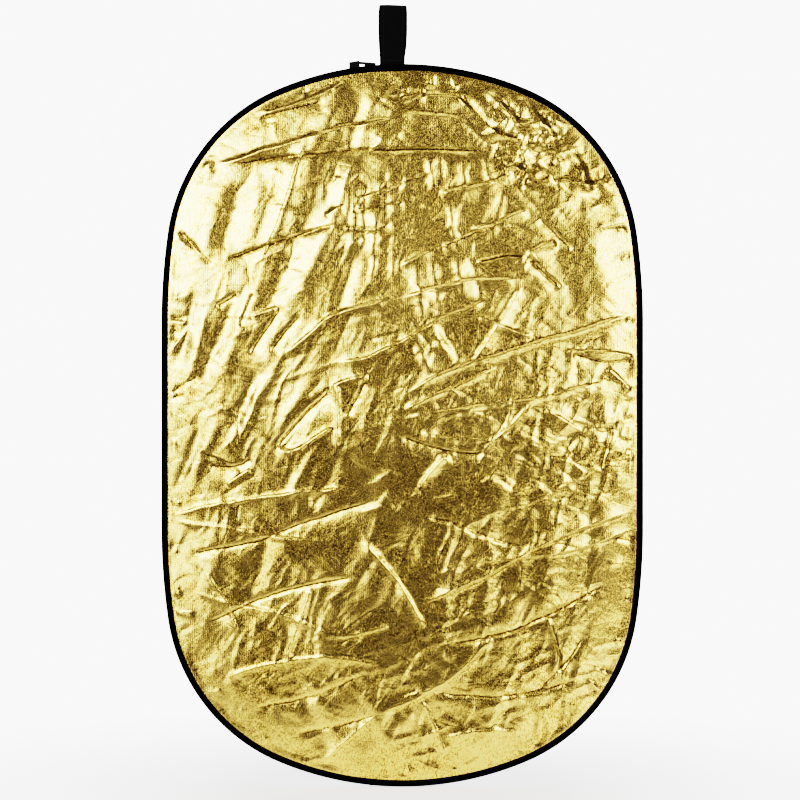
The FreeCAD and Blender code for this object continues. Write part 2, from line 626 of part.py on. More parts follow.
def make_pull():
    """Pull: two arms either side of the cap, a round crossbar, a wedge heel below and a slot near the tip."""
    body = doc.addObject("PartDesign::Body", "zip_pull")
    outline = new_sketch(body, "pull_plan", "XY_Plane")
    rectangle(outline, "- pull_back", "pull_length", "- pull_half_width", "pull_half_width")
    blade = pad(body, outline, "pull_blade", "pull_thickness")
    tip = size("pull_length")
    rounded(body, blade, "pull_tip", "pull_corner", upright_edges(lambda at: near(at.x, tip)))
    window = new_sketch(body, "window_plan", "XY_Plane")
    rectangle(window, "- pull_back - 1", "window_end", "- window_half", "window_half")
    pocket(body, window, "window")
    wedge = new_sketch(body, "heel_side", "XZ_Plane")
    polygon(wedge, [("heel_start", "- pull_thickness/2 - heel_deep"),
                    ("heel_end", "- pull_thickness/2 - heel_shallow"), ("heel_end", "0"), ("heel_start", "0")])
    pad(body, wedge, "thumb_heel", "2 * heel_half_width")
    slot = new_sketch(body, "slot_plan", "XY_Plane")
    rectangle(slot, "grip_start", "grip_end", "- grip_half", "grip_half")
    cut = pocket(body, slot, "grip_slot")
    slot_ends = (size("grip_start"), size("grip_end"))
    rounded(body, cut, "slot_corners", "grip_corner",
            upright_edges(lambda at: any(near(at.x, place) for place in slot_ends)))
    bar = new_sketch(body, "bar_side", "XZ_Plane")
    bar.addGeometry(Part.Circle(VECTOR(), VECTOR(0, 0, 1), size("bar_radius")), False)
    bar.addConstraint(Sketcher.Constraint("Coincident", 0, 3, -1, 1))
    driven(bar, "bar_radius", "Radius", 0)
    pad(body, bar, "crossbar", "2 * pull_half_width")
    body.Placement = FreeCAD.Placement(VECTOR(), FreeCAD.Rotation(VECTOR(0, -1, 0), 1))
    turn, height = "slider_angle * 1 deg", "(crown_radius + pivot_height)"
    rise = f"pivot_reach * sin({turn}) + {height} * cos({turn})"
    bind(body, Placement__Base__x=f"pivot_reach * cos({turn}) - {height} * sin({turn})",
         Placement__Base__z=f"half_height - crown_radius + {rise}",
         Placement__Rotation__Angle="(slider_angle - pull_droop) * 1 deg")
    node("zip_pull", body)


def check_and_write():
    """Stops on any failed object or unsound solid, then writes one STEP file per sub-part."""
    doc.recompute()
    failed = [item.Label for item in doc.Objects if {"Invalid", "Error"} & set(item.State)]
    if failed:
        raise RuntimeError(f"failed objects: {failed}")
    for item in NODES:
        shape = item.Shape
        if shape.isNull() or not shape.isValid() or not shape.Solids:
            raise RuntimeError(f"{item.Label} is not a valid solid")
    os.makedirs("parts", exist_ok=True)
    for item in NODES:
        item.Shape.exportStep(f"parts/{item.Label}.step")
        bounds = item.Shape.BoundBox
        print(f"{item.Label:18} {len(item.Shape.Solids)} solids {item.Shape.Volume:10.1f} mm3"
              f"  x {bounds.XMin:.1f} to {bounds.XMax:.1f}  y {bounds.YMin:.1f} to {bounds.YMax:.1f}"
              f"  z {bounds.ZMin:.1f} to {bounds.ZMax:.1f}")


make_cloths()
make_borders()
make_zip_tapes()
make_zip_coils()
make_zip_stops()
make_closed_side()
make_diffuser()
make_hoop()
make_carrying_loop()
make_loop_fittings()
make_slider()
make_pull()
check_and_write()
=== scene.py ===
"""The looks of a collapsible oval reflector: crumpled metal cloths, bindings, zip and loop."""

import math

import bpy
import numpy as np
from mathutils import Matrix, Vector


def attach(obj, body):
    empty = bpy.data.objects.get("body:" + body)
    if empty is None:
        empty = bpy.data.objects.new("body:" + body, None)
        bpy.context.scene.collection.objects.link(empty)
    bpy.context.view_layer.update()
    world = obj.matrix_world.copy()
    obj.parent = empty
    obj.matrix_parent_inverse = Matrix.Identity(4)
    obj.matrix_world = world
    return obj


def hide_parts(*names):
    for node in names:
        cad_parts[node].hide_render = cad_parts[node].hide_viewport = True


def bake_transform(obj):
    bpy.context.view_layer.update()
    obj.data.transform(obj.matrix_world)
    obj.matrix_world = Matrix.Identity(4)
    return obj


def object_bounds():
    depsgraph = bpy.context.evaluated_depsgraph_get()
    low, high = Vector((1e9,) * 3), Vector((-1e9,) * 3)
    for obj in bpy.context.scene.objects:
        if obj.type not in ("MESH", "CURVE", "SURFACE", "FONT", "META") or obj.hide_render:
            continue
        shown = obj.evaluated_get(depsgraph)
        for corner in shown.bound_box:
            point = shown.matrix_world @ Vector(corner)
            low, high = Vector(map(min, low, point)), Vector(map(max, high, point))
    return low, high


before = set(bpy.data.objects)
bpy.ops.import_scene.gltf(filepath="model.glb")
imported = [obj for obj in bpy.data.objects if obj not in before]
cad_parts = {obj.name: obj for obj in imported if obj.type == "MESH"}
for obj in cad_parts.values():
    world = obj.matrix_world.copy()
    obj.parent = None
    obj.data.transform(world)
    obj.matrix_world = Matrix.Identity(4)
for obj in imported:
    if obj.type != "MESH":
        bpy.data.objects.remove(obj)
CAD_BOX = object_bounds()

SCENE = bpy.context.scene
MM = 0.001

# The camera stands well back and looks along +Y at the upper middle of the reflector.
CAMERA_AT = (-0.0038, -4.0, 0.0419)
SENSOR = 36.0
VIEW_WIDTH = 1.3296


def link(made):
    SCENE.collection.objects.link(made)
    return made


def make_camera():
    data = bpy.data.cameras.new("camera")
    data.sensor_width = SENSOR
    data.lens = SENSOR * -CAMERA_AT[1] / VIEW_WIDTH
    camera = link(bpy.data.objects.new("camera", data))
    camera.location = CAMERA_AT
    camera.rotation_euler = (math.pi / 2, 0, 0)
    SCENE.camera = camera


make_camera()
SCENE.view_settings.view_transform = "Filmic"
SCENE.view_settings.look = "Very High Contrast"

# ---- the outline
# One quarter of the oval: crown arc, shoulder arc, flank arc, then a straight side.
# Each arc has its centre (x, z), its radius and the angle from upright where it ends.
CROWN = ((0.0, 0.070), 0.530, math.radians(22.7))
SHOULDER = ((0.08644, 0.27665), 0.306, math.radians(81.886))
FLANK = ((-0.6610, 0.17007), 1.061, math.pi / 2)
HALF_WIDTH, HALF_HEIGHT = 0.400, 0.600
SIDE_TOP = 0.17007
ARCS = (CROWN, SHOULDER, FLANK)


def quarter_lengths():
    """Where each part of a quarter ends, measured along the rim from the top."""
    ends, before, total = [], 0.0, 0.0
    for _, radius, angle in ARCS:
        total += radius * (angle - before)
        before = angle
        ends.append(total)
    return ends + [total + SIDE_TOP]


ENDS = quarter_lengths()
QUARTER = ENDS[-1]
AROUND = 4 * QUARTER


def rim_at(run):
    """Points on the rim and their outward directions, as x, z rows. run goes clockwise."""
    run = np.asarray(run, float) % AROUND
    turn = np.floor(run / QUARTER).astype(int) % 4
    rest = run - turn * QUARTER
    rest = np.where(turn % 2 == 0, rest, QUARTER - rest)
    place, out = np.zeros((len(run), 2)), np.zeros((len(run), 2))
    start, before = 0.0, 0.0
    for (centre, radius, angle), end in zip(ARCS, ENDS):
        here = (rest >= start) & (rest <= end)
        a = before + (rest[here] - start) / radius
        out[here] = np.column_stack([np.sin(a), np.cos(a)])
        place[here] = np.array(centre) + radius * out[here]
        start, before = end, angle
    side = rest > start
    out[side] = (1.0, 0.0)
    place[side] = np.column_stack([np.full(side.sum(), HALF_WIDTH), QUARTER - rest[side]])
    sign = np.column_stack([np.where(turn < 2, 1, -1), np.where((turn == 0) | (turn == 3), 1, -1)])
    return place * sign, out * sign


def inset_of(x, z):
    """How far inside the rim a point lies, and the outward direction there."""
    ax, az = np.abs(x), np.abs(z)
    inset, ox, oz = HALF_WIDTH - ax, np.ones_like(ax), np.zeros_like(ax)
    before = 0.0
    for (cx, cz), radius, angle in ARCS:
        a = np.arctan2(ax - cx, az - cz)
        here = (a >= before) & (a <= angle) & (az > cz)
        far = np.hypot(ax - cx, az - cz)
        inset = np.where(here, radius - far, inset)
        ox = np.where(here, (ax - cx) / np.maximum(far, MM), ox)
        oz = np.where(here, (az - cz) / np.maximum(far, MM), oz)
        before = angle
    return inset, ox * np.sign(x), oz * np.sign(z)


def run_at(x, top, left):
    """How far along the rim the crown passes a given x."""
    (_, radius, _) = CROWN
    short = radius * math.asin(abs(x) / radius)
    if top:
        return -short if left else short
    return 2 * QUARTER + (short if left else -short)


# ---- meshes
def show_mesh(name, mesh, material):
    """Makes an object of a mesh, smooth and in one material."""
    mesh.materials.clear()
    mesh.materials.append(material)
    mesh.polygons.foreach_set("use_smooth", [True] * len(mesh.polygons))
    mesh.update()
    return link(bpy.data.objects.new(name, mesh))


def make_object(name, points, faces, material, uvs=None):
    mesh = bpy.data.meshes.new(name)
    mesh.from_pydata(np.asarray(points).tolist(), [], [list(f) for f in faces])
    if uvs is not None:
        layer = mesh.uv_layers.new(name="along")
        corner = np.zeros(len(mesh.loops), int)
        mesh.loops.foreach_get("vertex_index", corner)
        layer.data.foreach_set("uv", np.asarray(uvs)[corner].ravel())
    return show_mesh(name, mesh, material)


def tube_faces(rows, across, row_loop, across_loop):
    """Quads over a net of points that is rows long and across wide."""
    r = np.arange(rows if row_loop else rows - 1)
    c = np.arange(across if across_loop else across - 1)
    r, c = [g.ravel() for g in np.meshgrid(r, c, indexing="ij")]
    r2, c2 = (r + 1) % rows, (c + 1) % across
    return np.column_stack([r * across + c, r * across + c2, r2 * across + c2, r2 * across + c])


def capped_faces(rows, around):
    """The faces of a closed rod: its sides and both ends."""
    sides = [list(f) for f in tube_faces(rows, around, False, True)]
    first = list(range(around))
    return sides + [first[::-1], [(rows - 1) * around + k for k in first]]


def smoothstep(t):
    t = np.clip(t, 0, 1)
    return t * t * (3 - 2 * t)


def rounded_line(points, times=2):
    """Cuts the corners of a line of points, keeping its ends."""
    p = np.asarray(points, float)
    for _ in range(times):
        a, b = p[:-1], p[1:]
        cut = np.stack([0.75 * a + 0.25 * b, 0.25 * a + 0.75 * b], 1).reshape(-1, p.shape[1])
        p = np.vstack([p[:1], cut, p[-1:]])
    return p


# Along a stitch: the place from 0 to 1, the share of its full thickness, and how high it lies.
STITCH_STAGES = (
    (0.0, 0.25, -0.6), (0.16, 0.85, 0.1), (0.5, 1.0, 0.35), (0.84, 0.85, 0.1), (1.0, 0.25, -0.6)
)


def stitches(name, starts, ends, outs, width, height, material):
    """Sewn stitches as small plump spindles that dip into the cloth at both ends."""
    ring, line, outs = 6, ends - starts, np.asarray(outs)
    side = np.cross(line, outs)
    side /= np.linalg.norm(side, axis=1)[:, None]
    angles = np.arange(ring) * 2 * math.pi / ring
    rows = []
    for share, swell, lift in STITCH_STAGES:
        middle = starts + share * line + outs * lift * height
        for a in angles:
            offset = side * width / 2 * math.cos(a) + outs * height / 2 * math.sin(a)
            rows.append(middle + swell * offset)
    points = np.stack(rows, 1).reshape(-1, 3)
    one, count = capped_faces(len(STITCH_STAGES), ring), len(STITCH_STAGES) * ring
    faces = [[k * count + v for v in f] for k in range(len(starts)) for f in one]
    return make_object(name, points, faces, material)


# ---- materials
def feed(socket, given):
    """Joins an output to a socket, or sets the socket's own number."""
    if isinstance(given, bpy.types.NodeSocket):
        socket.id_data.links.new(given, socket)
    else:
        socket.default_value = given


def set_up(node, **inputs):
    """Feeds a node's inputs by name. An underscore stands for a space."""
    for name, given in inputs.items():
        feed(node.inputs[name.replace("_", " ")], given)
    return node


def new_node(tree, kind, **inputs):
    return set_up(tree.nodes.new("ShaderNode" + kind), **inputs)


def new_material(name, colour, roughness, metallic=0.0, specular=0.5):
    made = bpy.data.materials.new(name)
    made.use_nodes = True
    shader = made.node_tree.nodes["Principled BSDF"]
    set_up(shader, Base_Color=(*colour, 1), Roughness=roughness)
    set_up(shader, Metallic=metallic, Specular_IOR_Level=specular)
    return made, made.node_tree, shader


def place(tree, uv=False, stretch=(1, 1, 1)):
    """Coordinates in metres, from the object's own frame or along its UVs."""
    where = new_node(tree, "TexCoord").outputs["UV" if uv else "Object"]
    return new_node(tree, "Mapping", Vector=where, Scale=stretch).outputs["Vector"]


def noise(where, size, detail=2.0, roughness=0.5):
    """Noise with spots about size metres across."""
    made = new_node(where.id_data, "TexNoise", Vector=where, Scale=1 / size)
    return set_up(made, Detail=detail, Roughness=roughness).outputs["Fac"]


def ribs(where, pitch, axis="X", distortion=0.0, detail_size=1.0):
    """Rounded ribs, one every pitch metres along an axis."""
    made = new_node(where.id_data, "TexWave", Vector=where, Scale=2 * math.pi / (20 * pitch))
    made.bands_direction = axis
    set_up(made, Distortion=distortion, Detail=1.0, Detail_Scale=detail_size)
    return made.outputs["Fac"]


def calculated(kind, operation, given):
    made = new_node(given[0].id_data, kind)
    made.operation = operation
    for socket, value in zip(made.inputs, given):
        feed(socket, value)
    return made.outputs


def vector_maths(operation, *given):
    return calculated("VectorMath", operation, given)


def maths(operation, *given):
    return calculated("Math", operation, given)[0]


def cracks(where, size, line):
    """Thin creases round facets about size metres across: 0 on a crease, 1 off it."""
    tree = where.id_data
    wander = new_node(tree, "TexNoise", Vector=where, Scale=0.4 / size, Detail=2.0)
    reach = (1.4 * size, 1.4 * size, 1.4 * size)
    bent = vector_maths("MULTIPLY_ADD", wander.outputs["Color"], reach, where)["Vector"]
    made = new_node(tree, "TexVoronoi")
    made.feature = "DISTANCE_TO_EDGE"
    set_up(made, Vector=bent, Scale=1 / size)
    return ranged(made.outputs["Distance"], 0.0, line / size, 0.0, 1.0)


def added(*parts):
    """The sum of outputs, each with its share."""
    total = 0.0
    for output, share in parts:
        total = maths("MULTIPLY_ADD", output, share, total)
    return total


def ranged(factor, low, high, low_to, high_to):
    made = new_node(factor.id_data, "MapRange", Value=factor, From_Min=low, From_Max=high)
    return set_up(made, To_Min=low_to, To_Max=high_to).outputs["Result"]


def roughened(shader, pattern, low, high):
    """Spreads the roughness from low to high over a pattern's usual values."""
    set_up(shader, Roughness=ranged(pattern, 0.3, 0.7, low, high))


def shade(colour, by):
    return tuple(by * c for c in colour)


def painted(shader, factor, *stops):
    """Colours a surface by a ramp from (place, colour) stops."""
    made = new_node(shader.id_data, "ValToRGB", Fac=factor)
    points = made.color_ramp.elements
    while len(points) < len(stops):
        points.new(1.0)
    for point, (at, colour) in zip(points, stops):
        point.position = at
        point.color = (*colour, 1)
    set_up(shader, Base_Color=made.outputs["Color"])


def bumped(shader, height, depth):
    """Roughens a surface with a pattern that stands depth metres high."""
    made = new_node(shader.id_data, "Bump", Height=height, Distance=depth, Strength=1.0)
    set_up(shader, Normal=made.outputs["Normal"])


def metal_cloth(name, light, dark, roughness):
    """Foil-coated taffeta: fine weave with soft upright ribs, a glinting speckle, and painted shade that
    darkens its creases.
    """
    made, tree, shader = new_material(name, light, roughness, metallic=1.0)
    where = place(tree)
    cloudy = noise(where, 0.09, detail=3.0)
    speckle = noise(where, 0.0022, detail=3.0, roughness=0.8)
    grain = noise(place(tree, stretch=(1, 1, 0.35)), 0.0016, detail=1.0)
    upright = ribs(where, 0.0031, distortion=1.2, detail_size=40.0)
    level = ribs(where, 0.0013, "Z", distortion=1.0, detail_size=60.0)
    # Painted shade: where the surface curves in, as in a crease, the colour is pulled darker, down to the
    # deepest colour.
    bent = new_node(tree, "NewGeometry").outputs["Pointiness"]
    painted_crease_shade = ranged(bent, 0.450, 0.496, -0.60, 0.0)
    # The tone mixes the cloth's random variation with the painted crease shade; the deepest colour is
    # reached mostly where that painted shade falls.
    tone = added((cloudy, 0.30), (speckle, 1.2), (grain, 0.45), (painted_crease_shade, 1.0))
    deep = shade(dark, 0.3)
    painted(shader, tone, (0.64, deep), (0.82, dark), (0.99, light))
    roughened(shader, speckle, roughness - 0.03, roughness + 0.06)
    fine = cracks(place(tree, stretch=(1.5, 1, 0.8)), 0.015, 0.0016)
    broad = cracks(place(tree, stretch=(0.8, 1, 1.4)), 0.034, 0.0026)
    woven = (speckle, 0.50), (grain, 0.42), (upright, 0.22), (level, 0.08)
    bumped(shader, added(*woven, (fine, 0.12), (broad, 0.40)), 0.00012)
    return made


def plain_cloth(name, colour, roughness, pitch=0.0009):
    """Plainly woven nylon cloth."""
    made, tree, shader = new_material(name, colour, roughness, specular=0.3)
    where = place(tree)
    weft, warp = ribs(where, pitch), ribs(where, pitch, "Z")
    slub = noise(where, 0.004, detail=3.0)
    darker = shade(colour, 0.86)
    painted(shader, slub, (0.3, darker), (0.7, colour))
    roughened(shader, slub, roughness - 0.06, roughness + 0.06)
    set_up(shader, Sheen_Weight=0.15)
    bumped(shader, added((weft, 0.4), (warp, 0.4), (slub, 0.3)), 0.0001)
    return made


def ribbon_cloth(name, colour, pitch, roughness=0.82):
    """Ribbed binding ribbon, with its ribs across its length."""
    made, tree, shader = new_material(name, colour, roughness, specular=0.03)
    where = place(tree, uv=True)
    rib = ribs(where, pitch, distortion=0.4, detail_size=30.0)
    yarn = noise(where, 0.0006)
    wear = noise(where, 0.03, detail=4.0)
    lighter = shade(colour, 1.9)
    painted(shader, wear, (0.35, colour), (0.75, lighter))
    roughened(shader, yarn, roughness - 0.1, roughness + 0.08)
    bumped(shader, added((rib, 0.7), (yarn, 0.4)), 0.00016)
    return made


def webbing_cloth(name, colour, half_width):
    """Strap webbing: ribbed field, denser edge bands and a pale line inside each edge."""
    made, tree, shader = new_material(name, colour, 0.7, specular=0.12)
    where = place(tree, uv=True)
    parts = new_node(tree, "SeparateXYZ", Vector=where)
    across = maths("ABSOLUTE", parts.outputs["Y"])
    band = ranged(across, half_width - 0.0046, half_width - 0.0038, 0.0, 1.0)
    line = maths("SUBTRACT", across, half_width - 0.0076)
    line = ranged(maths("ABSOLUTE", line), 0.0003, 0.0008, 1.0, 0.0)
    rib = ribs(where, 0.0016, distortion=0.5, detail_size=30.0)
    cord = ribs(where, 0.0011, "Y", distortion=0.3, detail_size=30.0)
    yarn = noise(where, 0.0007)
    dark, pale = shade(colour, 0.45), shade(colour, 2.6)
    tone = added((line, 0.35), (band, -0.4), (yarn, 0.2))
    tone = maths("ADD", tone, 0.4)
    painted(shader, tone, (0.1, dark), (0.5, colour), (0.8, pale))
    roughened(shader, yarn, 0.62, 0.8)
    bumped(shader, added((rib, 0.6), (cord, 0.35), (yarn, 0.3)), 0.00022)
    return made


def thread_yarn(name, colour):
    """Twisted sewing thread."""
    made, tree, shader = new_material(name, colour, 0.6, specular=0.4)
    twist = ribs(place(tree), 0.0006, "DIAGONAL")
    set_up(shader, Roughness=ranged(twist, 0.0, 1.0, 0.5, 0.72))
    bumped(shader, twist, 0.00006)
    return made


def moulded(name, colour, roughness):
    """Smooth moulded nylon with faint flow marks."""
    made, tree, shader = new_material(name, colour, roughness, specular=0.45)
    marks = noise(place(tree), 0.0025, detail=3.0)
    roughened(shader, marks, roughness - 0.08, roughness + 0.1)
    bumped(shader, marks, 0.00004)
    return made


def enamelled(name, colour, metal):
    """Black enamel over cast zinc, thin and rubbed at a few spots."""
    made, tree, shader = new_material(name, colour, 0.34, specular=0.15)
    where = place(tree)
    peel = noise(where, 0.0014)
    rubbed = noise(where, 0.0035, detail=5.0, roughness=0.7)
    bare = ranged(rubbed, 0.72, 0.76, 0.0, 1.0)
    painted(shader, bare, (0.0, colour), (1.0, metal))
    set_up(shader, Metallic=bare)
    roughened(shader, peel, 0.27, 0.42)
    set_up(shader, Coat_Weight=0.08, Coat_Roughness=0.2)
    bumped(shader, peel, 0.00005)
    return made


def drawn_steel(name, colour, roughness):
    """Spring steel or a crimped sleeve, with fine drawing lines."""
    made, tree, shader = new_material(name, colour, roughness, metallic=1.0)
    lines = noise(place(tree, stretch=(1, 8, 1)), 0.0012, detail=3.0)
    tint = noise(place(tree), 0.02, detail=4.0)
    darker = shade(colour, 0.7)
    painted(shader, tint, (0.3, darker), (0.7, colour))
    roughened(shader, lines, roughness - 0.08, roughness + 0.1)
    bumped(shader, lines, 0.00004)
    return made


LOOP_LEFT, LOOP_RIGHT = -0.0398, 0.0082
LOOP_MIDDLE = (LOOP_LEFT + LOOP_RIGHT) / 2
LOOP_HALF = (LOOP_RIGHT - LOOP_LEFT) / 2

# Both metal cloths have painted shade darkening their creases.
GOLD = metal_cloth("gold_cloth", (1.0, 0.70, 0.21), (0.30, 0.17, 0.024), 0.15)
SILVER = metal_cloth("silver_cloth", (0.93, 0.93, 0.94), (0.30, 0.305, 0.32), 0.15)
WHITE = plain_cloth("white_cloth", (0.82, 0.82, 0.80), 0.7)
BLACK = plain_cloth("black_cloth", (0.012, 0.012, 0.013), 0.75)
DIFFUSER = plain_cloth("diffuser_cloth", (0.86, 0.86, 0.84), 0.6, pitch=0.0006)
RIBBON = ribbon_cloth("border_ribbon", (0.0012, 0.0012, 0.0013), 0.0011)
BIAS = plain_cloth("diffuser_bias", (0.02, 0.02, 0.021), 0.7)
TAPE = plain_cloth("zip_tape", (0.010, 0.010, 0.011), 0.75, pitch=0.0008)
COIL = moulded("zip_coil", (0.010, 0.010, 0.011), 0.38)
ENAMEL = enamelled("zip_metal", (0.003, 0.003, 0.0033), (0.16, 0.155, 0.15))
STEEL = drawn_steel("spring_steel", (0.50, 0.52, 0.56), 0.36)
SLEEVE = drawn_steel("sleeve_metal", (0.66, 0.62, 0.55), 0.4)
WEBBING = webbing_cloth("webbing", (0.0085, 0.0085, 0.009), LOOP_HALF)
THREAD = thread_yarn("thread", (0.014, 0.014, 0.015))

# ---- crumpled cloth
# Each crease is a height and a width in millimetres, then x and z of each point that it passes.
# A negative height is a valley.

SHARP_CREASES = (
    (1.5, 4.5, -318, 436, -294, 434, -225, 458, -160, 477, -80, 497, 5, 513),
    (-1.3, 4.0, -294, 434, -211, 443, -143, 451, -68, 458, 5, 458, 74, 459, 158, 456),
    (1.6, 6.0, -236, 514, -182, 530, -130, 552, -95, 573),
    (-1.2, 4.5, -238, 508, -182, 527, -126, 540),
    (1.2, 4.5, -156, 473, -177, 436, -208, 339, -238, 270),
    (-1.2, 4.0, -291, 275, -229, 298, -159, 319, -103, 335), (0.9, 4.0, -130, 347, -100, 363),
    (-0.9, 4.0, -99, 329, -39, 325, -18, 338), (0.9, 4.0, -81, 373, -31, 389, 5, 399),
    (-0.8, 4.0, -78, 354, 5, 369), (-1.0, 3.5, -372, 326, -345, 298, -314, 263),
    (-0.9, 4.0, -4, 545, 38, 556), (1.2, 5.0, 25, 545, 82, 547, 100, 537, 131, 511, 157, 486),
    (-2.4, 6.0, 96, 549, 128, 514, 157, 486, 183, 480, 206, 474),
    (1.0, 4.0, -4, 516, 48, 515, 100, 508, 137, 472, 160, 456), (-0.9, 4.0, 0, 403, 51, 417),
    (1.2, 4.0, 60, 384, 152, 402, 186, 416), (1.8, 6.0, 170, 424, 188, 429, 201, 419),
    (-1.5, 4.5, 204, 411, 225, 405, 247, 416),
    (1.2, 4.0, 246, 399, 271, 405, 287, 401, 333, 399, 348, 407),
    (1.0, 4.0, 112, 324, 162, 337, 210, 358), (-1.0, 4.0, 35, 288, 100, 309, 162, 337),
    (-1.3, 4.0, 122, 270, 152, 279, 183, 283, 208, 277), (1.4, 4.0, 206, 280, 226, 296, 257, 304),
    (-1.5, 4.0, 210, 276, 238, 249, 262, 226), (-0.9, 4.5, 226, 343, 251, 320, 283, 287),
    (0.9, 4.0, -4, 266, 40, 288, 75, 301),
    (1.1, 4.0, -200, 116, -156, 148, -125, 178, -78, 195, -18, 207),
    (1.2, 4.0, -122, 104, -78, 106, -39, 120, 5, 142, 61, 174, 105, 193, 153, 214),
    (1.1, 4.5, -120, 63, -91, 76, -56, 84), (-1.5, 5.5, -212, -38, -169, 11, -140, 40, -114, 66),
    (1.4, 4.5, -212, -40, -182, -45, -153, -26, -114, -1), (-1.2, 5.0, -97, 10, -76, 42, -62, 77),
    (-1.0, 5.0, -256, 115, -221, 164, -199, 201), (-0.9, 5.0, -222, 119, -168, 186),
    (-0.9, 4.5, -271, 162, -246, 222), (-0.9, 4.0, -308, 198, -272, 219),
    (0.8, 4.0, -252, 181, -207, 196), (0.8, 4.0, -388, 119, -352, 165),
    (-0.8, 4.0, -385, 54, -339, 82), (-1.0, 4.0, -338, -40, -312, -54, -267, -79),
    (-1.2, 4.0, -326, -66, -278, -71, -246, -53), (1.0, 4.0, -292, -99, -251, -72),
    (1.4, 4.5, -108, 70, -107, 15, -108, -38), (1.1, 4.0, -4, 212, 61, 230, 126, 242, 202, 241),
    (1.1, 4.0, 117, 103, 157, 162, 200, 232), (1.0, 3.5, 124, 182, 162, 166, 218, 145),
    (1.6, 4.5, -4, 45, 48, 78, 113, 104, 178, 122, 230, 138, 282, 152, 355, 177, 388, 186),
    (1.3, 4.0, -4, 24, 48, 47, 105, 71, 158, 97),
    (1.3, 4.0, -4, 12, 74, 24, 152, 34, 230, 42, 282, 58, 343, 74),
    (1.3, 4.5, 268, 122, 334, 123, 393, 111), (-1.0, 4.0, 282, 119, 338, 102, 392, 108),
    (1.0, 4.5, 340, 97, 382, 57), (-1.2, 4.5, -4, -17, 48, -36, 100, -47, 143, -46),
    (1.1, 4.0, 30, -12, 74, -24, 153, -22), (1.0, 4.0, 237, 27, 301, -11),
    (-1.1, 5.0, 350, 4, 329, -76), (1.5, 5.0, 26, -105, 48, -78, 75, -48),
    (1.0, 4.0, 243, -53, 277, -60, 309, -84), (1.1, 4.0, 137, -40, 157, -22, 213, 35),
    (1.3, 4.5, -392, -150, -290, -128, -180, -112, -80, -104),
    (1.1, 4.0, -392, -156, -300, -168, -210, -186, -120, -196),
    (-1.2, 4.5, -360, -215, -250, -196, -130, -150, -30, -122),
    (1.4, 4.5, 392, -140, 300, -168, 215, -206, 120, -262, 20, -300),
    (1.1, 4.0, 388, -170, 290, -206, 190, -222, 90, -226),
    (-1.0, 4.0, 214, -206, 150, -190, 84, -160, 30, -150),
    (1.3, 4.5, -70, -190, -20, -240, 16, -296, 40, -340),
    (-1.2, 4.5, -330, -330, -240, -290, -150, -262, -70, -250),
    (1.0, 4.0, -352, -272, -270, -300, -180, -318, -110, -352),
    (1.2, 4.5, -150, -262, -170, -330, -196, -396),
    (-1.4, 5.0, 340, -262, 240, -318, 150, -352, 60, -366),
    (1.1, 4.5, 240, -318, 262, -380, 256, -436),
    (1.2, 4.5, -300, -420, -210, -392, -120, -384, -30, -398),
    (-1.0, 4.0, -250, -470, -150, -452, -60, -412),
    (1.3, 4.5, 150, -352, 96, -410, 30, -452, -40, -480),
    (-1.1, 4.5, 300, -420, 210, -446, 120, -452, 50, -440),
    (1.0, 4.0, -40, -480, -90, -520, -130, -560), (1.2, 4.5, 30, -452, 60, -510, 76, -566),
    (-1.0, 4.0, -180, -512, -100, -498, -40, -480), (1.0, 4.0, 70, -520, 130, -505, 196, -508),
    (0.9, 4.0, -330, -240, -290, -290, -270, -350), (-0.9, 4.0, 300, -350, 270, -400, 225, -440),
    (0.9, 3.5, -20, -330, -60, -345, -110, -352),
)

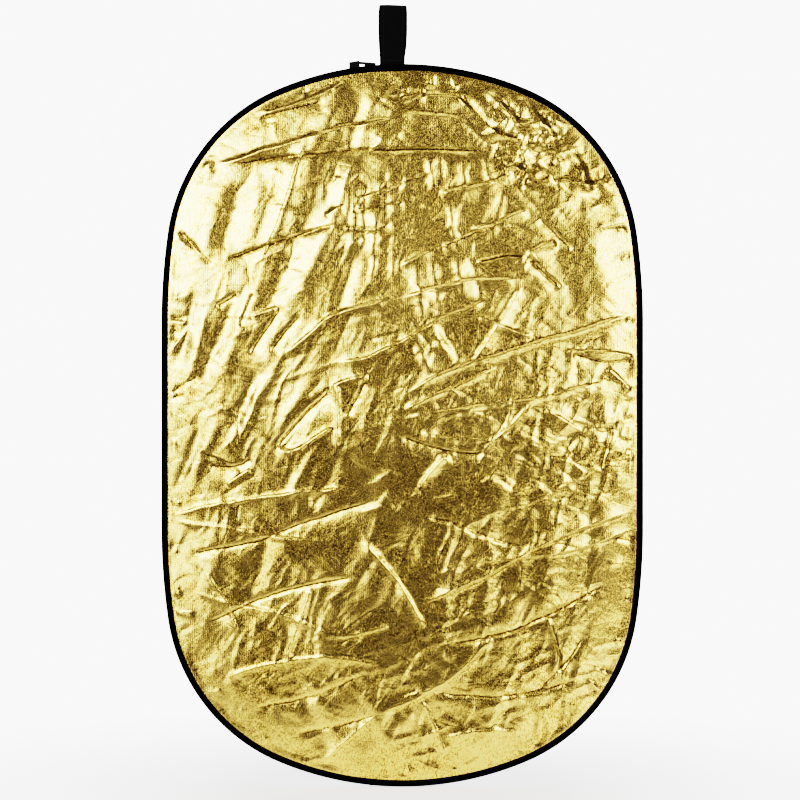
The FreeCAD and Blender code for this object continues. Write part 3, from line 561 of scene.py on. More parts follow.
# Broad soft folds, most of them fanning down and out from under the loop.
SOFT_FOLDS = (
    (2.6, 17, -88, 575, -120, 520, -150, 455, -178, 375),
    (-2.2, 13, -60, 560, -95, 450, -118, 380, -150, 300),
    (2.6, 16, -78, 470, -112, 350, -150, 262, -190, 190),
    (-2.2, 15, -128, 420, -160, 330, -205, 235, -240, 150),
    (-1.6, 11, -72, 300, -92, 240, -112, 170), (1.3, 8, -78, 430, -80, 340, -88, 262),
    (-1.0, 7, -60, 400, -64, 330, -66, 276), (1.2, 7, -46, 372, -46, 300, -52, 214),
    (-0.9, 7, -28, 436, -30, 380, -27, 330), (0.9, 7, -14, 330, -16, 270, -10, 226),
    (1.3, 7, 44, 452, 47, 420, 52, 380), (-1.2, 8, 62, 450, 66, 400),
    (1.2, 7, 76, 375, 82, 340, 92, 300), (-1.3, 9, 100, 440, 104, 390),
    (1.4, 8, 140, 452, 143, 415, 150, 385), (-1.4, 10, 168, 400, 160, 350, 140, 300),
    (2.0, 18, -300, 400, -322, 330, -330, 260), (-1.8, 16, -262, 430, -282, 350, -300, 280),
    (1.6, 14, -228, 420, -245, 350, -265, 285), (1.8, 12, -232, 240, -270, 160, -310, 70),
    (-1.8, 11, -262, 240, -302, 150, -338, 60), (1.7, 11, -318, 215, -345, 120, -368, 30),
    (-1.6, 9, -345, 240, -358, 150, -375, 90), (1.6, 10, -200, 110, -235, 55, -262, 0, -300, -60),
    (-1.6, 10, -228, 105, -262, 40, -290, -15), (1.4, 9, -160, 60, -190, 20, -215, -20),
    (1.4, 9, -300, 20, -330, -40, -360, -110), (-1.4, 9, -325, 20, -352, -50, -378, -120),
    (1.5, 9, -130, -20, -160, -70, -195, -130), (-1.4, 10, -100, -40, -130, -100, -160, -160),
    (1.3, 9, 20, 280, 30, 220, 34, 160), (-1.3, 9, 48, 290, 56, 230, 64, 170),
    (1.2, 8, 88, 285, 98, 240, 108, 200), (-1.3, 9, 110, 290, 125, 240, 136, 190),
    (1.8, 11, 20, 150, 34, 110, 60, 70), (1.6, 8, 46, 170, 62, 140, 72, 112),
    (-1.5, 9, 60, 175, 84, 130, 100, 95), (2.6, 13, 226, 462, 228, 446, 222, 424),
    (-2.2, 9, 200, 476, 217, 467, 236, 478), (1.6, 12, 262, 480, 290, 440, 318, 390),
    (1.9, 7, 134, 556, 168, 530, 196, 500), (-1.8, 7, 160, 545, 190, 518, 212, 494),
    (2.0, 8, 170, 506, 205, 498, 238, 502), (-1.9, 7, 178, 490, 214, 484, 252, 488),
    (1.8, 7, 196, 536, 226, 512, 252, 482), (-1.7, 7, 216, 528, 246, 500, 270, 470),
    (1.8, 8, 246, 470, 262, 444, 268, 414), (-1.8, 8, 196, 462, 204, 440, 206, 418),
    (1.6, 9, 296, 432, 300, 410, 316, 384), (-1.6, 11, 285, 470, 312, 420, 338, 360),
    (1.9, 22, 300, 350, 330, 260, 352, 180), (-1.4, 20, 240, 340, 270, 250, 290, 170),
    (1.5, 12, 356, 40, 330, -20, 300, -90), (-1.4, 11, 330, 60, 300, 0, 262, -60),
    (2.2, 18, -20, -120, -60, -220, -120, -330, -150, -430),
    (-2.0, 16, 30, -130, 0, -240, -50, -350), (2.0, 15, 110, -120, 90, -230, 60, -340),
    (-2.0, 17, 180, -130, 170, -240, 150, -340), (1.9, 16, 250, -120, 250, -230, 230, -330),
    (-1.8, 15, 320, -110, 310, -210, 290, -300), (-2.0, 15, -210, -140, -240, -240, -260, -330),
    (1.8, 15, -290, -120, -310, -210, -330, -290), (2.2, 17, 0, -580, -30, -500, -70, -420),
    (-2.0, 15, 60, -580, 50, -500, 30, -430), (2.0, 14, 130, -560, 150, -480, 170, -410),
    (-1.8, 14, -110, -570, -150, -480, -190, -400),
)

# Round clusters of crumples: x, z, radius, then how strong.
CLUSTERS = (
    (-330, 425, 22, 1.5), (210, 500, 95, 1.5), (-20, 545, 60, 0.7), (255, 400, 80, 0.9),
    (60, 60, 150, 0.9), (250, -40, 170, 1.2), (-250, 40, 150, 0.7), (-60, 330, 80, 0.7),
    (250, 210, 110, 0.6), (160, -260, 200, 0.9), (-180, -380, 180, 0.9), (-260, -200, 130, 0.9),
    (40, -500, 180, 0.9), (250, -440, 110, 1.0),
)


NOISE_REACH = 0.9


def smooth_noise(x, z, size, random, long=None):
    """Soft noise from -1 to 1 with bumps about size metres across, and long metres in z."""
    tall = long or size
    cells = [int(2 * NOISE_REACH / v) + 3 for v in (size, tall)]
    table = random.uniform(-1, 1, cells)
    gx, gz = (x + NOISE_REACH) / size, (z + NOISE_REACH) / tall
    ix, iz = gx.astype(int), gz.astype(int)
    fx, fz = smoothstep(gx - ix), smoothstep(gz - iz)
    low = table[ix, iz] * (1 - fx) + table[ix + 1, iz] * fx
    high = table[ix, iz + 1] * (1 - fx) + table[ix + 1, iz + 1] * fx
    return low * (1 - fz) + high * fz


def rolling(x, z, random, *waves):
    """A sum of soft noises, each given as its height and its size in metres."""
    return sum(height * smooth_noise(x, z, size, random) for height, size in waves)


def wrinkles(x, z, degrees, across, along, random):
    """Sharp wandering ridges from 0 to 1, mostly at one angle from level."""
    a = math.radians(degrees - 90)
    u, v = x * math.cos(a) + z * math.sin(a), z * math.cos(a) - x * math.sin(a)
    bent = u + 0.35 * across * smooth_noise(u, v, 2.2 * across, random)
    return 1 - np.abs(smooth_noise(bent, v, across, random, along))


def near_line(x, z, line, reach):
    """The points within reach of a bent line: which they are, how far off it, along it and aside."""
    points = rounded_line(np.reshape(line, (-1, 2)) * MM)
    low, high = points.min(0) - reach, points.max(0) + reach
    near = (x > low[0]) & (x < high[0]) & (z > low[1]) & (z < high[1])
    px, pz = x[near], z[near]
    best, run, side = np.full(px.shape, 9.0), np.zeros(px.shape), np.ones(px.shape)
    done = 0.0
    for (ax, az), (bx, bz) in zip(points[:-1], points[1:]):
        dx, dz = bx - ax, bz - az
        length = math.hypot(dx, dz)
        t = np.clip(((px - ax) * dx + (pz - az) * dz) / length**2, 0, 1)
        far = np.hypot(px - ax - t * dx, pz - az - t * dz)
        closer = far < best
        best = np.where(closer, far, best)
        run = np.where(closer, done + t * length, run)
        side = np.where(closer, (px - ax) * dz - (pz - az) * dx, side)
        done += length
    return near, best, run / done, side


def faded(share, tip):
    """Lets a crease die out at both ends. share goes from 0 to 1 along it."""
    return smoothstep(share / tip) * smoothstep((1 - share) / tip)


def fold(x, z, height, width, line, lean=1.0, tip=0.14):
    """The height of one sharp crease, which is steeper on one side."""
    width = width * MM
    near, off, share, side = near_line(x, z, line, 5.5 * width * max(lean, 1.0))
    wide = width * np.where(side > 0, lean, 1.0)
    soft = 0.16 * width
    made = np.zeros_like(x)
    made[near] = height * MM * np.exp(-(np.hypot(off, soft) - soft) / wide) * faded(share, tip)
    return made


def soft_fold(x, z, height, width, line):
    """The height of one broad rounded fold."""
    width = width * MM
    near, off, share, _ = near_line(x, z, line, 3 * width)
    made = np.zeros_like(x)
    made[near] = height * MM * np.exp(-((off / width) ** 2)) * faded(share, 0.3)
    return made


def heading(angle):
    """The direction at an angle from level, and the one across it."""
    along = np.array((math.cos(angle), math.sin(angle)))
    return along, np.array((-along[1], along[0]))


PLAIN_STRENGTH = 0.42


def crumple_strength(x, z):
    strength = np.full(x.shape, PLAIN_STRENGTH)
    for cx, cz, radius, strong in CLUSTERS:
        far = np.hypot(x - cx * MM, z - cz * MM) / (radius * MM)
        strength = np.maximum(strength, strong * smoothstep(1.35 - far))
    return strength


def random_creases(x, z, random, count, tallest):
    """Short creases in all directions, more of them near level than upright."""
    made = np.zeros_like(x)
    for _ in range(count):
        cx, cz = random.uniform(-390, 390), random.uniform(-590, 590)
        angle = random.normal(0.35, 0.75)
        length = random.uniform(22, 105)
        bend = random.uniform(-0.25, 0.25)
        height = random.uniform(0.3, 1.0) * tallest * random.choice((-1, 1))
        width = random.uniform(2.0, 4.5)
        lean = random.uniform(1.2, 3.6)
        along, aside = heading(angle)
        middle, half = np.array((cx, cz)), along * length / 2
        line = (middle - half, middle + aside * length * bend / 2, middle + half)
        made += fold(x, z, height, width, line, lean, tip=0.35)
    return made


# Sets of crumpled facets: height, degrees from level, then their size across and along.
FACETS = (
    (0.00085, 72, 0.017, 0.060),
    (0.00080, 18, 0.020, 0.075),
    (-0.00070, -38, 0.018, 0.055),
    (0.00032, 50, 0.009, 0.024),
    (-0.00028, -20, 0.008, 0.022),
)


def crumples(x, z, strength, random):
    """Crumpled facets in several directions."""
    return strength * sum(height * wrinkles(x, z, *shape, random) for height, *shape in FACETS)


def gold_relief(x, z):
    """How far the gold cloth stands out of its plane, in metres."""
    random = np.random.default_rng(20)
    wx, wz = (v + rolling(x, z, random, (0.0016, 0.035), (0.0005, 0.012)) for v in (x, z))
    made = rolling(x, z, random, (0.0010, 0.13), (0.0006, 0.055))
    for height, width, *line in SOFT_FOLDS:
        made += soft_fold(wx, wz, 0.85 * height, width, line)
    for height, width, *line in SHARP_CREASES:
        made += fold(wx, wz, 1.7 * height, 0.66 * width, line, random.uniform(2.2, 4.2))
    made += random_creases(wx, wz, random, 300, 0.85)
    made += gathers(wx, wz, random, 90)
    return made + crumples(wx, wz, crumple_strength(x, z), random)


def gathers(x, z, random, count):
    """Short puckers that run in from the binding."""
    made = np.zeros_like(x)
    for run in random.uniform(0, AROUND, count):
        (at,), (out,) = rim_at([run])
        length = random.uniform(14, 42) * MM
        side = np.array((-out[1], out[0])) * random.uniform(-0.5, 0.5) * length
        line = [(at - out * 0.010) / MM, (at - out * (0.010 + length) + side) / MM]
        height = random.uniform(0.4, 1.1) * random.choice((-1, 1))
        made += fold(x, z, height, random.uniform(2.5, 5.0), line, 1.3, tip=0.3)
    return made


def silver_relief(x, z):
    """The silver side's own folds, which cross it from side to side."""
    random = np.random.default_rng(41)
    wx, wz = (v + rolling(x, z, random, (0.0025, 0.04)) for v in (x, z))
    made = rolling(x, z, random, (0.0012, 0.15), (0.0007, 0.06))
    for _ in range(26):
        start = np.array((random.uniform(-380, 100), random.uniform(-560, 560)))
        angle, length = random.normal(0.2, 0.45), random.uniform(150, 420)
        along, aside = heading(angle)
        line = [start + along * length * t + aside * random.uniform(-14, 14) for t in (0, 0.3, 0.65, 1)]
        made += fold(wx, wz, random.uniform(0.9, 1.6) * random.choice((-1, 1)), random.uniform(4, 6), line)
    for _ in range(44):
        start = np.array((random.uniform(-360, 360), random.uniform(-480, 560)))
        angle, length = random.normal(-1.45, 0.3), random.uniform(90, 240)
        along, _ = heading(angle)
        line = [start + along * length * t for t in (0, 0.5, 1)]
        height = random.uniform(1.0, 2.3) * random.choice((-1, 1))
        made += soft_fold(wx, wz, height, random.uniform(8, 17), line)
    made += random_creases(wx, wz, random, 300, 0.75)
    strength = 0.5 + 0.5 * smoothstep(1.2 * smooth_noise(x, z, 0.2, random))
    made += gathers(wx, wz, random, 90)
    return made + crumples(wx, wz, strength, random)


def ripple_relief(x, z):
    """Faint slack in the diffuser."""
    return rolling(x, z, np.random.default_rng(7), (0.0005, 0.11), (0.0002, 0.04))


# How far a creased face may stand out of its plane and sink below it, how far its slack middle
# stands out, and how far a lining keeps back from the face before it.
PROUD, SUNK = 0.0070, 0.0030
PUFF = 0.0012
INNER_BEHIND = 0.0016
# How far from the binding a cloth is free to crease, and to hang slack.
FREE_AFTER, SLACK_AFTER = 0.012, 0.060


def oval_net(step, edge, out):
    """A square net over the oval, its outer points moved to edge inside the rim."""
    count_x, count_z = int(2 * HALF_WIDTH / step) + 1, int(2 * HALF_HEIGHT / step) + 1
    line_x = np.linspace(-HALF_WIDTH, HALF_WIDTH, count_x)
    line_z = np.linspace(-HALF_HEIGHT, HALF_HEIGHT, count_z)
    x, z = np.meshgrid(line_x, line_z, indexing="ij")
    inset, ox, oz = inset_of(x, z)
    inside = inset >= edge
    cells = inside[:-1, :-1] & inside[1:, :-1] & inside[1:, 1:] & inside[:-1, 1:]
    ci, cj = np.nonzero(cells)
    corner = ci * count_z + cj
    faces = np.column_stack([corner, corner + count_z, corner + count_z + 1, corner + 1])
    if out > 0:
        faces = faces[:, ::-1]
    used, faces = np.unique(faces, return_inverse=True)
    faces = faces.reshape(-1, 4)
    x, z, inset, ox, oz = (v.ravel()[used] for v in (x, z, inset, ox, oz))
    rim = np.bincount(faces.ravel(), minlength=len(used)) < 4
    short = np.where(rim, inset - edge, 0.0)
    return x + short * ox, z + short * oz, inset - short, faces


def make_cloth(name, step, edge, level, out, relief, material, held_in=0.0115, behind=0.0, puff=0.0):
    """A sheet over the oval, its edge held in the binding and its middle creased.

    It ends edge inside the rim, lies at level and faces out along Y. Its middle keeps behind
    back from the cloth before it, and stands puff out where it is slack.
    """
    x, z, inset, faces = oval_net(step, edge, out)
    free, slack = (smoothstep((inset - held_in) / v) for v in (FREE_AFTER, SLACK_AFTER))
    lift = free * relief(x, z) + slack * puff
    lift = lift / (1 + np.abs(lift / np.where(lift > 0, PROUD, SUNK)) ** 3) ** (1 / 3)
    points = np.column_stack([x, level + out * (lift - free * behind), z])
    return make_object(name, points, faces, material, uvs=np.column_stack([x, z]))


def oval_area(edge):
    """The area of the oval that lies edge inside the rim."""
    count = 720
    place_at, out = rim_at(np.arange(count) * AROUND / count)
    p = place_at - edge * out
    q = np.roll(p, -1, 0)
    return abs(float(np.sum(p[:, 0] * q[:, 1] - q[:, 0] * p[:, 1]))) / 2


def finish_piece(piece, slot_name, *nodes, body="reflector"):
    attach(piece, body)
    if nodes:
        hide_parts(*nodes)


FRONT, BACK = -1.0, 1.0
CLOTH_EDGE, DIFFUSER_EDGE = 0.0024, 0.0100


def make_cloths():
    """The two creased faces of the cover, their linings and the diffuser between them."""
    fine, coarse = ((0.0020, 0.0062))
    face, lining = 0.00590, 0.00555
    for name, node, step, level, out, relief, material, slot_name in (
        ("gold_face", "gold_cloth", fine, face, FRONT, gold_relief, GOLD, "gold_cloth"),
        ("white_inner_face", "white_lining", coarse, lining, FRONT, gold_relief, WHITE, "white_cloth"),
        ("silver_face", "silver_cloth", 0.0024, face, BACK, silver_relief, SILVER, "silver_cloth"),
        ("black_inner_face", "black_lining", coarse, lining, BACK, silver_relief, BLACK, "black_cloth"),
    ):
        behind = INNER_BEHIND if step == coarse else 0.0
        cloth = make_cloth(
            name, step, CLOTH_EDGE, out * level, out, relief, material, behind=behind, puff=PUFF
        )
        finish_piece(cloth, slot_name, node)
        oval_area(CLOTH_EDGE)
    edge = DIFFUSER_EDGE
    screen = make_cloth("diffuser_face", coarse, edge, 0.0, FRONT, ripple_relief, DIFFUSER, 0.016)
    finish_piece(screen, "diffuser_cloth", "diffuser_cloth")
    oval_area(edge)


# ---- bindings
# The binding's section: how far inside the rim and how far out of the middle, in millimetres.
BINDING_SECTION = (
    (10.85, 6.04), (10.95, 6.22), (10.75, 6.42), (9.90, 6.54), (8.90, 6.56), (8.30, 6.50),
    (7.60, 6.62), (6.40, 6.76), (4.80, 6.82), (3.20, 6.74), (2.00, 6.52), (0.80, 6.20),
    (0.25, 5.85), (0.20, 5.50), (0.60, 5.18), (1.70, 4.96), (3.00, 4.92), (9.90, 4.92),
    (10.80, 4.98), (10.92, 5.16), (10.80, 5.34), (2.20, 5.38), (1.60, 5.52), (1.60, 5.86),
    (2.20, 6.02),
)
BINDING_STEPS = 1400
SEAM_INSET, SEAM_LEVEL = 0.0083, 0.00652
SEAM_PITCH, STITCH_SHARE = 0.0038, 0.72
SEAM_THREAD = (0.0006, 0.0004)
# The ribbon is a little uneven, inwards and outwards, and reaches further in at the loop.
WANDER, SWELL = 0.00022, 0.00012
DRAWN, DRAWN_WIDTH = 0.0016, 0.034


def make_binding(name, out, node, seed):
    """The folded ribbon that binds one cover's edge: a little uneven, and deeper at the loop."""
    random = np.random.default_rng(seed)
    run = np.arange(BINDING_STEPS) * AROUND / BINDING_STEPS
    at, outward = rim_at(run)
    section = np.array(BINDING_SECTION) * MM
    inset, high = section[:, 0], section[:, 1]
    wander, swell = (
        np.interp(run, np.linspace(0, AROUND, n), random.uniform(-1, 1, n)) for n in (90, 420)
    )
    inner = smoothstep((inset - 0.006) / 0.004)
    plump = smoothstep((high - 0.0060) / 0.0006)
    points = np.zeros((BINDING_STEPS, len(section), 3))
    drawn = DRAWN * np.exp(-(((at[:, 0] - LOOP_MIDDLE) / DRAWN_WIDTH) ** 2)) * (at[:, 1] > 0)
    reach = inset[None] + (WANDER * wander + drawn)[:, None] * inner[None]
    points[..., 0] = at[:, :1] - reach * outward[:, :1]
    points[..., 2] = at[:, 1:] - reach * outward[:, 1:]
    points[..., 1] = out * (high[None] + SWELL * swell[:, None] * plump[None])
    across = np.concatenate([[0], np.cumsum(np.hypot(*np.diff(section, axis=0).T))])
    uvs = np.stack(np.broadcast_arrays(run[:, None], across[None]), -1).reshape(-1, 2)
    faces = tube_faces(BINDING_STEPS, len(section), True, True)
    if out > 0:
        faces = faces[:, ::-1]
    binding = make_object(name, points.reshape(-1, 3), faces, RIBBON, uvs=uvs)
    finish_piece(binding, "border_ribbon", node)


def make_seam(name, out):
    """The row of stitches along the binding's inner edge."""
    count = int(AROUND / SEAM_PITCH)
    run = np.arange(count) * AROUND / count
    ends = []
    for shift in (0.0, STITCH_SHARE * SEAM_PITCH):
        at, outward = rim_at(run + shift)
        p = at - SEAM_INSET * outward
        ends.append(np.column_stack([p[:, 0], np.full(count, out * SEAM_LEVEL), p[:, 1]]))
    seam = stitches(name, *ends, (0.0, out, 0.0), *SEAM_THREAD, THREAD)
    finish_piece(seam, "thread")


# ---- the zip
COIL_PITCH = 0.0022
COIL_START_X, COIL_END_X = -0.0705, -0.0545
SLIDER_REACH = 0.235
# From the middle of the thickness to a coil: its heads, apart or meeting, and its heels.
HEAD_APART, HEAD_MEETING, HEEL = 0.00078, 0.00005, 0.0030
COIL_INSET, COIL_SWING = 0.00102, 0.00066
COIL_RADIUS = 0.00029


def tube(name, points, radius, material):
    """A thin tube through points, made as a curve and turned into a mesh."""
    curve = bpy.data.curves.new(name, "CURVE")
    curve.dimensions = "3D"
    curve.bevel_depth = radius
    curve.bevel_resolution = 1
    curve.use_fill_caps = True
    line = curve.splines.new("POLY")
    line.points.add(len(points) - 1)
    line.points.foreach_set("co", np.column_stack([points, np.ones(len(points))]).ravel())
    helper = link(bpy.data.objects.new(name, curve))
    mesh = bpy.data.meshes.new_from_object(helper)
    bpy.data.objects.remove(helper)
    bpy.data.curves.remove(curve)
    return show_mesh(name, mesh, material)


def make_coil(name, out, shift, node):
    """One half of the zip: a nylon coil, apart from the other within the slider's reach."""
    start = -run_at(COIL_START_X, True, True)
    end = AROUND - run_at(COIL_END_X, False, True)
    t = np.arange(int((end - start) / COIL_PITCH * 8)) / 8 + shift
    run = start + t * COIL_PITCH
    at, outward = rim_at(AROUND - run)
    angle = 2 * math.pi * t
    head = np.where(run < SLIDER_REACH, HEAD_APART, HEAD_MEETING)
    centre, swing = (HEEL + head) / 2, (HEEL - head) / 2
    inset = COIL_INSET + COIL_SWING * np.cos(angle)
    y = out * (centre + swing * np.sin(angle))
    points = np.column_stack([at[:, 0] - inset * outward[:, 0], y, at[:, 1] - inset * outward[:, 1]])
    coil = tube(name, points, COIL_RADIUS, COIL)
    finish_piece(coil, "zip_coil", node)


# ---- the carrying loop
# Half of the strap's line as seen from the side: out from the middle and up, in millimetres.
STRAP_LINE = (
    (4.0, 597.4), (2.4, 597.9), (1.2, 599.0), (0.86, 601.0), (0.86, 606.0),
    (0.95, 612.0), (2.4, 624.0), (6.0, 641.0), (9.6, 658.0), (11.7, 674.0),
    (12.1, 685.0), (10.4, 692.8), (6.2, 696.8), (0.0, 697.9),
)
STRAP_HALF_THICK = 0.00078
# Above its neck the loop tilts, sags at its edges and is cupped.
LOOP_LEAN, LOOP_SAG, LOOP_CUP = -0.030, -0.0007, 0.10
NECK_TOP, SLACK_HEIGHT = 0.62, 0.07


def strap_line():
    """The whole loop's line, evenly spaced, from one foot over the top to the other."""
    half = rounded_line(np.array(STRAP_LINE) * MM, 3)
    line = np.vstack([half, (half * (-1, 1))[::-1][1:]])
    far = np.concatenate([[0], np.cumsum(np.hypot(*np.diff(line, axis=0).T))])
    even = np.linspace(0, far[-1], 260)
    return np.column_stack([np.interp(even, far, v) for v in line.T]), even


def strap_section():
    """Across the strap: place from -1 to 1 and the share of its thickness, all the way round."""
    place_at = np.concatenate([[-1, -0.985], np.linspace(-0.955, 0.955, 25), [0.985, 1]])
    edge = (1 - np.abs(place_at)) * LOOP_HALF
    thinned = 1 - np.minimum(edge, STRAP_HALF_THICK) / STRAP_HALF_THICK
    thick = np.sqrt(1 - thinned**2)
    thick *= 1 - 0.14 * (edge < 0.0040) + 0.16 * np.exp(-(((edge - 0.0076) / 0.0009) ** 2))
    top = np.column_stack([place_at, thick])
    under = np.column_stack([place_at, -thick])[::-1][1:-1]
    return np.vstack([top, under])


def strap_sides(z):
    """The strap's left and right edge at a height: pinched where it is sewn, slack above."""
    heights = np.array((0.596, 0.612, 0.630, 0.652, 0.684, 0.700))
    left = np.array((-37.3, -37.4, -38.8, -39.7, -39.6, -37.7)) * MM
    right = np.array((3.8, 4.4, 7.0, 8.1, 8.2, 7.2)) * MM
    return np.interp(z, heights, left), np.interp(z, heights, right)


def make_loop():
    """One strap of webbing from foot to foot, which runs over the joint at its neck."""
    line, far = strap_line()
    section = strap_section()
    step = np.gradient(line, axis=0)
    step /= np.linalg.norm(step, axis=1)[:, None]
    normal = np.column_stack([step[:, 1], -step[:, 0]])
    left, right = strap_sides(line[:, 1])
    middle, half = (left + right) / 2, (right - left) / 2
    across = section[:, 0]
    slack = smoothstep((line[:, 1] - NECK_TOP) / SLACK_HEIGHT)[:, None]
    x = middle[:, None] + half[:, None] * across[None]
    tilt = LOOP_LEAN * (x - LOOP_MIDDLE) * slack
    sag = LOOP_SAG * slack * across[None] ** 2
    thick = STRAP_HALF_THICK * section[:, 1][None]
    y = line[:, :1] + normal[:, :1] * thick
    z = line[:, 1:] + normal[:, 1:] * thick + tilt + sag
    cup = 1 - LOOP_CUP * across[None] ** 2 * slack
    points = np.stack([x, y * cup, z], -1).reshape(-1, 3)
    uvs = np.stack(np.broadcast_arrays(far[:, None], across[None] * LOOP_HALF), -1).reshape(-1, 2)
    faces = [face[::-1] for face in capped_faces(len(line), len(section))]
    strap = make_object("carrying_strap", points, faces, WEBBING, uvs=uvs)
    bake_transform(strap)
    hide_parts("carrying_loop", "loop_foot")


TACK_LEFT, TACK_RIGHT = -0.0338, 0.0022
TACK_LOW, TACK_HIGH, TACK_LEVEL = 0.6049, 0.6071, 0.00172
TACK_THREAD = (0.00075, 0.0005)


def make_tacks():
    """Two dense zigzag bars, one on each side of the loop's neck."""
    count = 62
    starts, ends = [], []
    for out in (FRONT, BACK):
        x = np.linspace(TACK_LEFT, TACK_RIGHT, count)
        even = np.arange(count) % 2 == 0
        first, last = np.where(even, TACK_LOW, TACK_HIGH), np.where(even, TACK_HIGH, TACK_LOW)
        y = np.full(count, out * TACK_LEVEL)
        starts.append(np.column_stack([x, y, first]))
        ends.append(np.column_stack([x + (TACK_RIGHT - TACK_LEFT) / count, y, last]))
    starts, ends = np.vstack(starts), np.vstack(ends)
    outs = np.repeat([(0.0, FRONT, 0.0), (0.0, BACK, 0.0)], count, 0)
    tack = stitches("loop_tack_stitches", starts, ends, outs, *TACK_THREAD, THREAD)
    finish_piece(tack, "thread", "loop_bar_tack", body="handle")


# ---- nodes that keep their CAD shape
CARRIED = (
    ("zip_tape_front", TAPE, 0.0),
    ("zip_tape_back", TAPE, 0.0),
    ("zip_top_stops", ENAMEL, 0.25),
    ("zip_bottom_stop", ENAMEL, 0.35),
    ("closed_side_tape", TAPE, 0.0),
    ("diffuser_binding", BIAS, 0.0),
    ("hoop_band", STEEL, 0.15),
    ("hoop_sleeve", SLEEVE, 0.2),
    ("zip_slider", ENAMEL, 0.22),
    ("zip_pull", ENAMEL, 0.28),
)


def dress_nodes():
    """Gives each carried-over node its material, and rounded edges where it is metal."""
    for name, material, edge in CARRIED:
        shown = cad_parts[name]
        for part in shown.material_slots:
            part.material = material
        if edge:
            rounding = shown.modifiers.new("worn_edges", "BEVEL")
            rounding.width = edge * MM
            rounding.segments = 2
            rounding.limit_method = "ANGLE"
            rounding.angle_limit = math.radians(40)
            rounding.harden_normals = True


# ---- the studio
def make_panel(name, at, aim, size, radiance):
    """A softbox that is brightest in its middle. Its power follows from its size."""
    data = bpy.data.lights.new(name, "AREA")
    data.shape = "RECTANGLE"
    data.size, data.size_y = size
    data.energy = radiance * math.pi * size[0] * size[1]
    data.use_nodes = True
    soften(data.node_tree)
    panel = link(bpy.data.objects.new(name, data))
    panel.location = at
    look = Vector(aim) - Vector(at)
    panel.rotation_euler = look.to_track_quat("-Z", "Y").to_euler()
    panel.visible_camera = False


def soften(tree):
    """Lets a softbox fade towards its four edges."""
    across = new_node(tree, "SeparateXYZ", Vector=new_node(tree, "NewGeometry").outputs["Parametric"])
    bright = 1.0
    for side in ("X", "Y"):
        away = maths("ABSOLUTE", maths("SUBTRACT", across.outputs[side], 0.5))
        bright = maths("MULTIPLY", ranged(away, 0.24, 0.5, 1.0, 0.0), bright)
    set_up(tree.nodes["Emission"], Strength=bright)


PANELS = (
    ("key_left", (-0.88, -2.6, 0.60), (-0.2, 0, 0.2), (1.12, 1.15), 9.5),
    ("low_left", (-1.04, -2.6, -0.40), (-0.2, 0, 0.0), (0.76, 0.90), 4.0),
    ("rim_right", (1.00, -2.6, 0.37), (0.2, 0, 0.2), (0.78, 1.25), 8.0),
    ("low_right", (0.80, -2.6, -0.95), (0.2, 0, -0.2), (0.80, 0.60), 4.0),
    ("top_front", (0.1, -2.2, 1.75), (0, 0, 0.2), (1.4, 0.5), 2.2),
    ("side_left", (-2.4, -1.4, 0.4), (0, 0, 0), (1.0, 1.8), 2.5),
    ("side_right", (2.4, -1.4, 0.3), (0, 0, 0), (1.0, 1.8), 1.6),
    ("back_left", (-1.1, 2.6, 0.6), (0, 0, 0.1), (1.1, 1.3), 8.0),
    ("back_right", (1.05, 2.5, 0.3), (0, 0, 0.0), (1.0, 1.5), 7.0),
    ("overhead", (0.0, 0.2, 2.4), (0, 0, 0), (2.2, 1.8), 1.6),
)
# The background that the camera sees. It lights nothing.
SEEN_WHITE = 3.2
# The walls of the room: a dim base, then soft patches with a direction, brightness and focus.
ROOM_BASE = 0.03
ROOM_PATCHES = (
    ((-0.16, -1.0, -0.24), 0.15, 50),
    ((0.05, -1.0, 0.30), 0.08, 90),
    ((0.00, -0.6, 0.80), 0.16, 8),
    ((-0.90, -0.5, 0.00), 0.4, 8),
    ((0.90, -0.5, 0.00), 0.10, 8),
    ((-0.20, 1.0, -0.20), 0.50, 30),
    ((0.15, 1.0, 0.25), 0.50, 60),
    ((0.20, 0.9, -0.50), 0.35, 14),
    ((0.20, -0.9, -0.55), 0.25, 25),
    ((0.00, 0.6, 0.80), 0.6, 8),
)


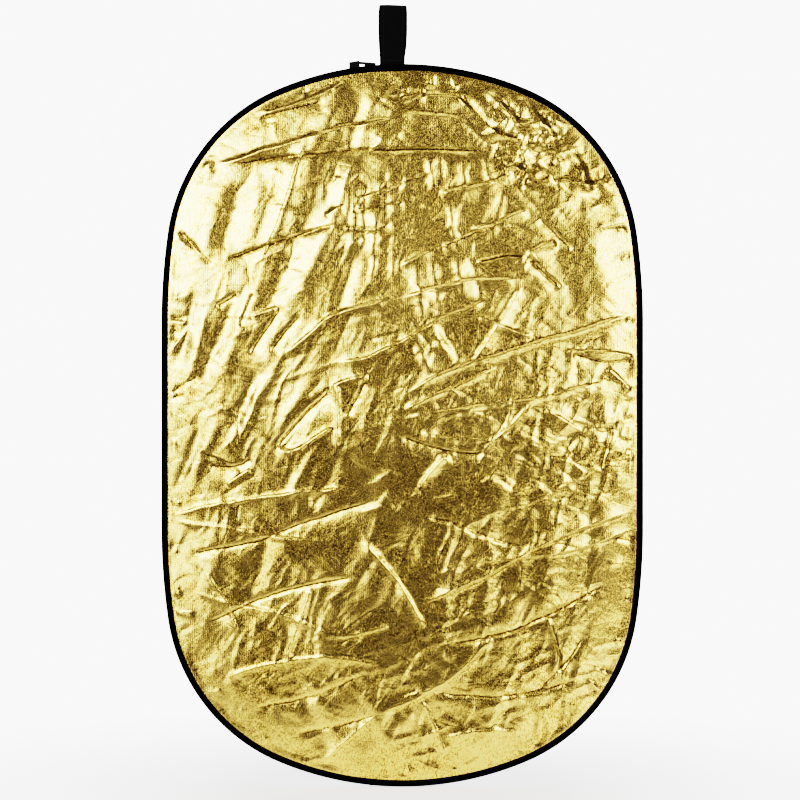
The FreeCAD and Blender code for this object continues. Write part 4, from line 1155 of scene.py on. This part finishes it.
def room_light(tree):
    """How bright the room is in each direction."""
    where = new_node(tree, "TexCoord").outputs["Generated"]
    total = ROOM_BASE
    for direction, bright, focus in ROOM_PATCHES:
        facing = vector_maths("DOT_PRODUCT", where, Vector(direction).normalized())
        near = maths("MAXIMUM", facing["Value"], 0.0)
        total = maths("MULTIPLY_ADD", maths("POWER", near, focus), bright, total)
    return total


def make_world():
    """Plain white behind the object, and a dimmer room for it to reflect."""
    world = bpy.data.worlds.new("studio")
    world.use_nodes = True
    tree = world.node_tree
    tree.nodes.clear()
    sides = []
    for strength in (room_light(tree), SEEN_WHITE):
        sides.append(new_node(tree, "Background", Color=(1, 1, 1, 1), Strength=strength).outputs[0])
    mix = new_node(tree, "MixShader")
    seen = new_node(tree, "LightPath").outputs["Is Camera Ray"]
    for socket, given in zip(mix.inputs, (seen, *sides)):
        feed(socket, given)
    new_node(tree, "OutputWorld", Surface=mix.outputs[0])
    SCENE.world = world


FLOOR_RADIUS = 1.1
FLOOR_GAP = 0.0009


def make_floor():
    """A pale round floor that fades out towards its edge."""
    made, tree, shader = new_material("floor", (0.9, 0.9, 0.9), 0.8, specular=0.2)
    far = vector_maths("LENGTH", place(tree))["Value"]
    set_up(shader, Alpha=ranged(far, 0.25, 0.98 * FLOOR_RADIUS, 1.0, 0.0))
    set_up(shader, Emission_Color=(1, 1, 1, 1), Emission_Strength=0.8)
    count = 96
    a = np.arange(count) * 2 * math.pi / count
    points = np.column_stack([np.cos(a), np.sin(a), np.zeros(count)]) * FLOOR_RADIUS
    floor = make_object("floor", points, [list(range(count))], made)
    floor.location = (0, 0, CAD_BOX[0].z - FLOOR_GAP)


make_cloths()
make_binding("front_binding", FRONT, "front_border", 3)
make_binding("back_binding", BACK, "back_border", 4)
make_seam("front_seam", FRONT)
make_seam("back_seam", BACK)
make_coil("front_coil", FRONT, 0.0, "zip_coil_front")
make_coil("back_coil", BACK, 0.5, "zip_coil_back")
make_loop()
make_tacks()
dress_nodes()
for panel in PANELS:
    make_panel(*panel)
make_world()
make_floor()
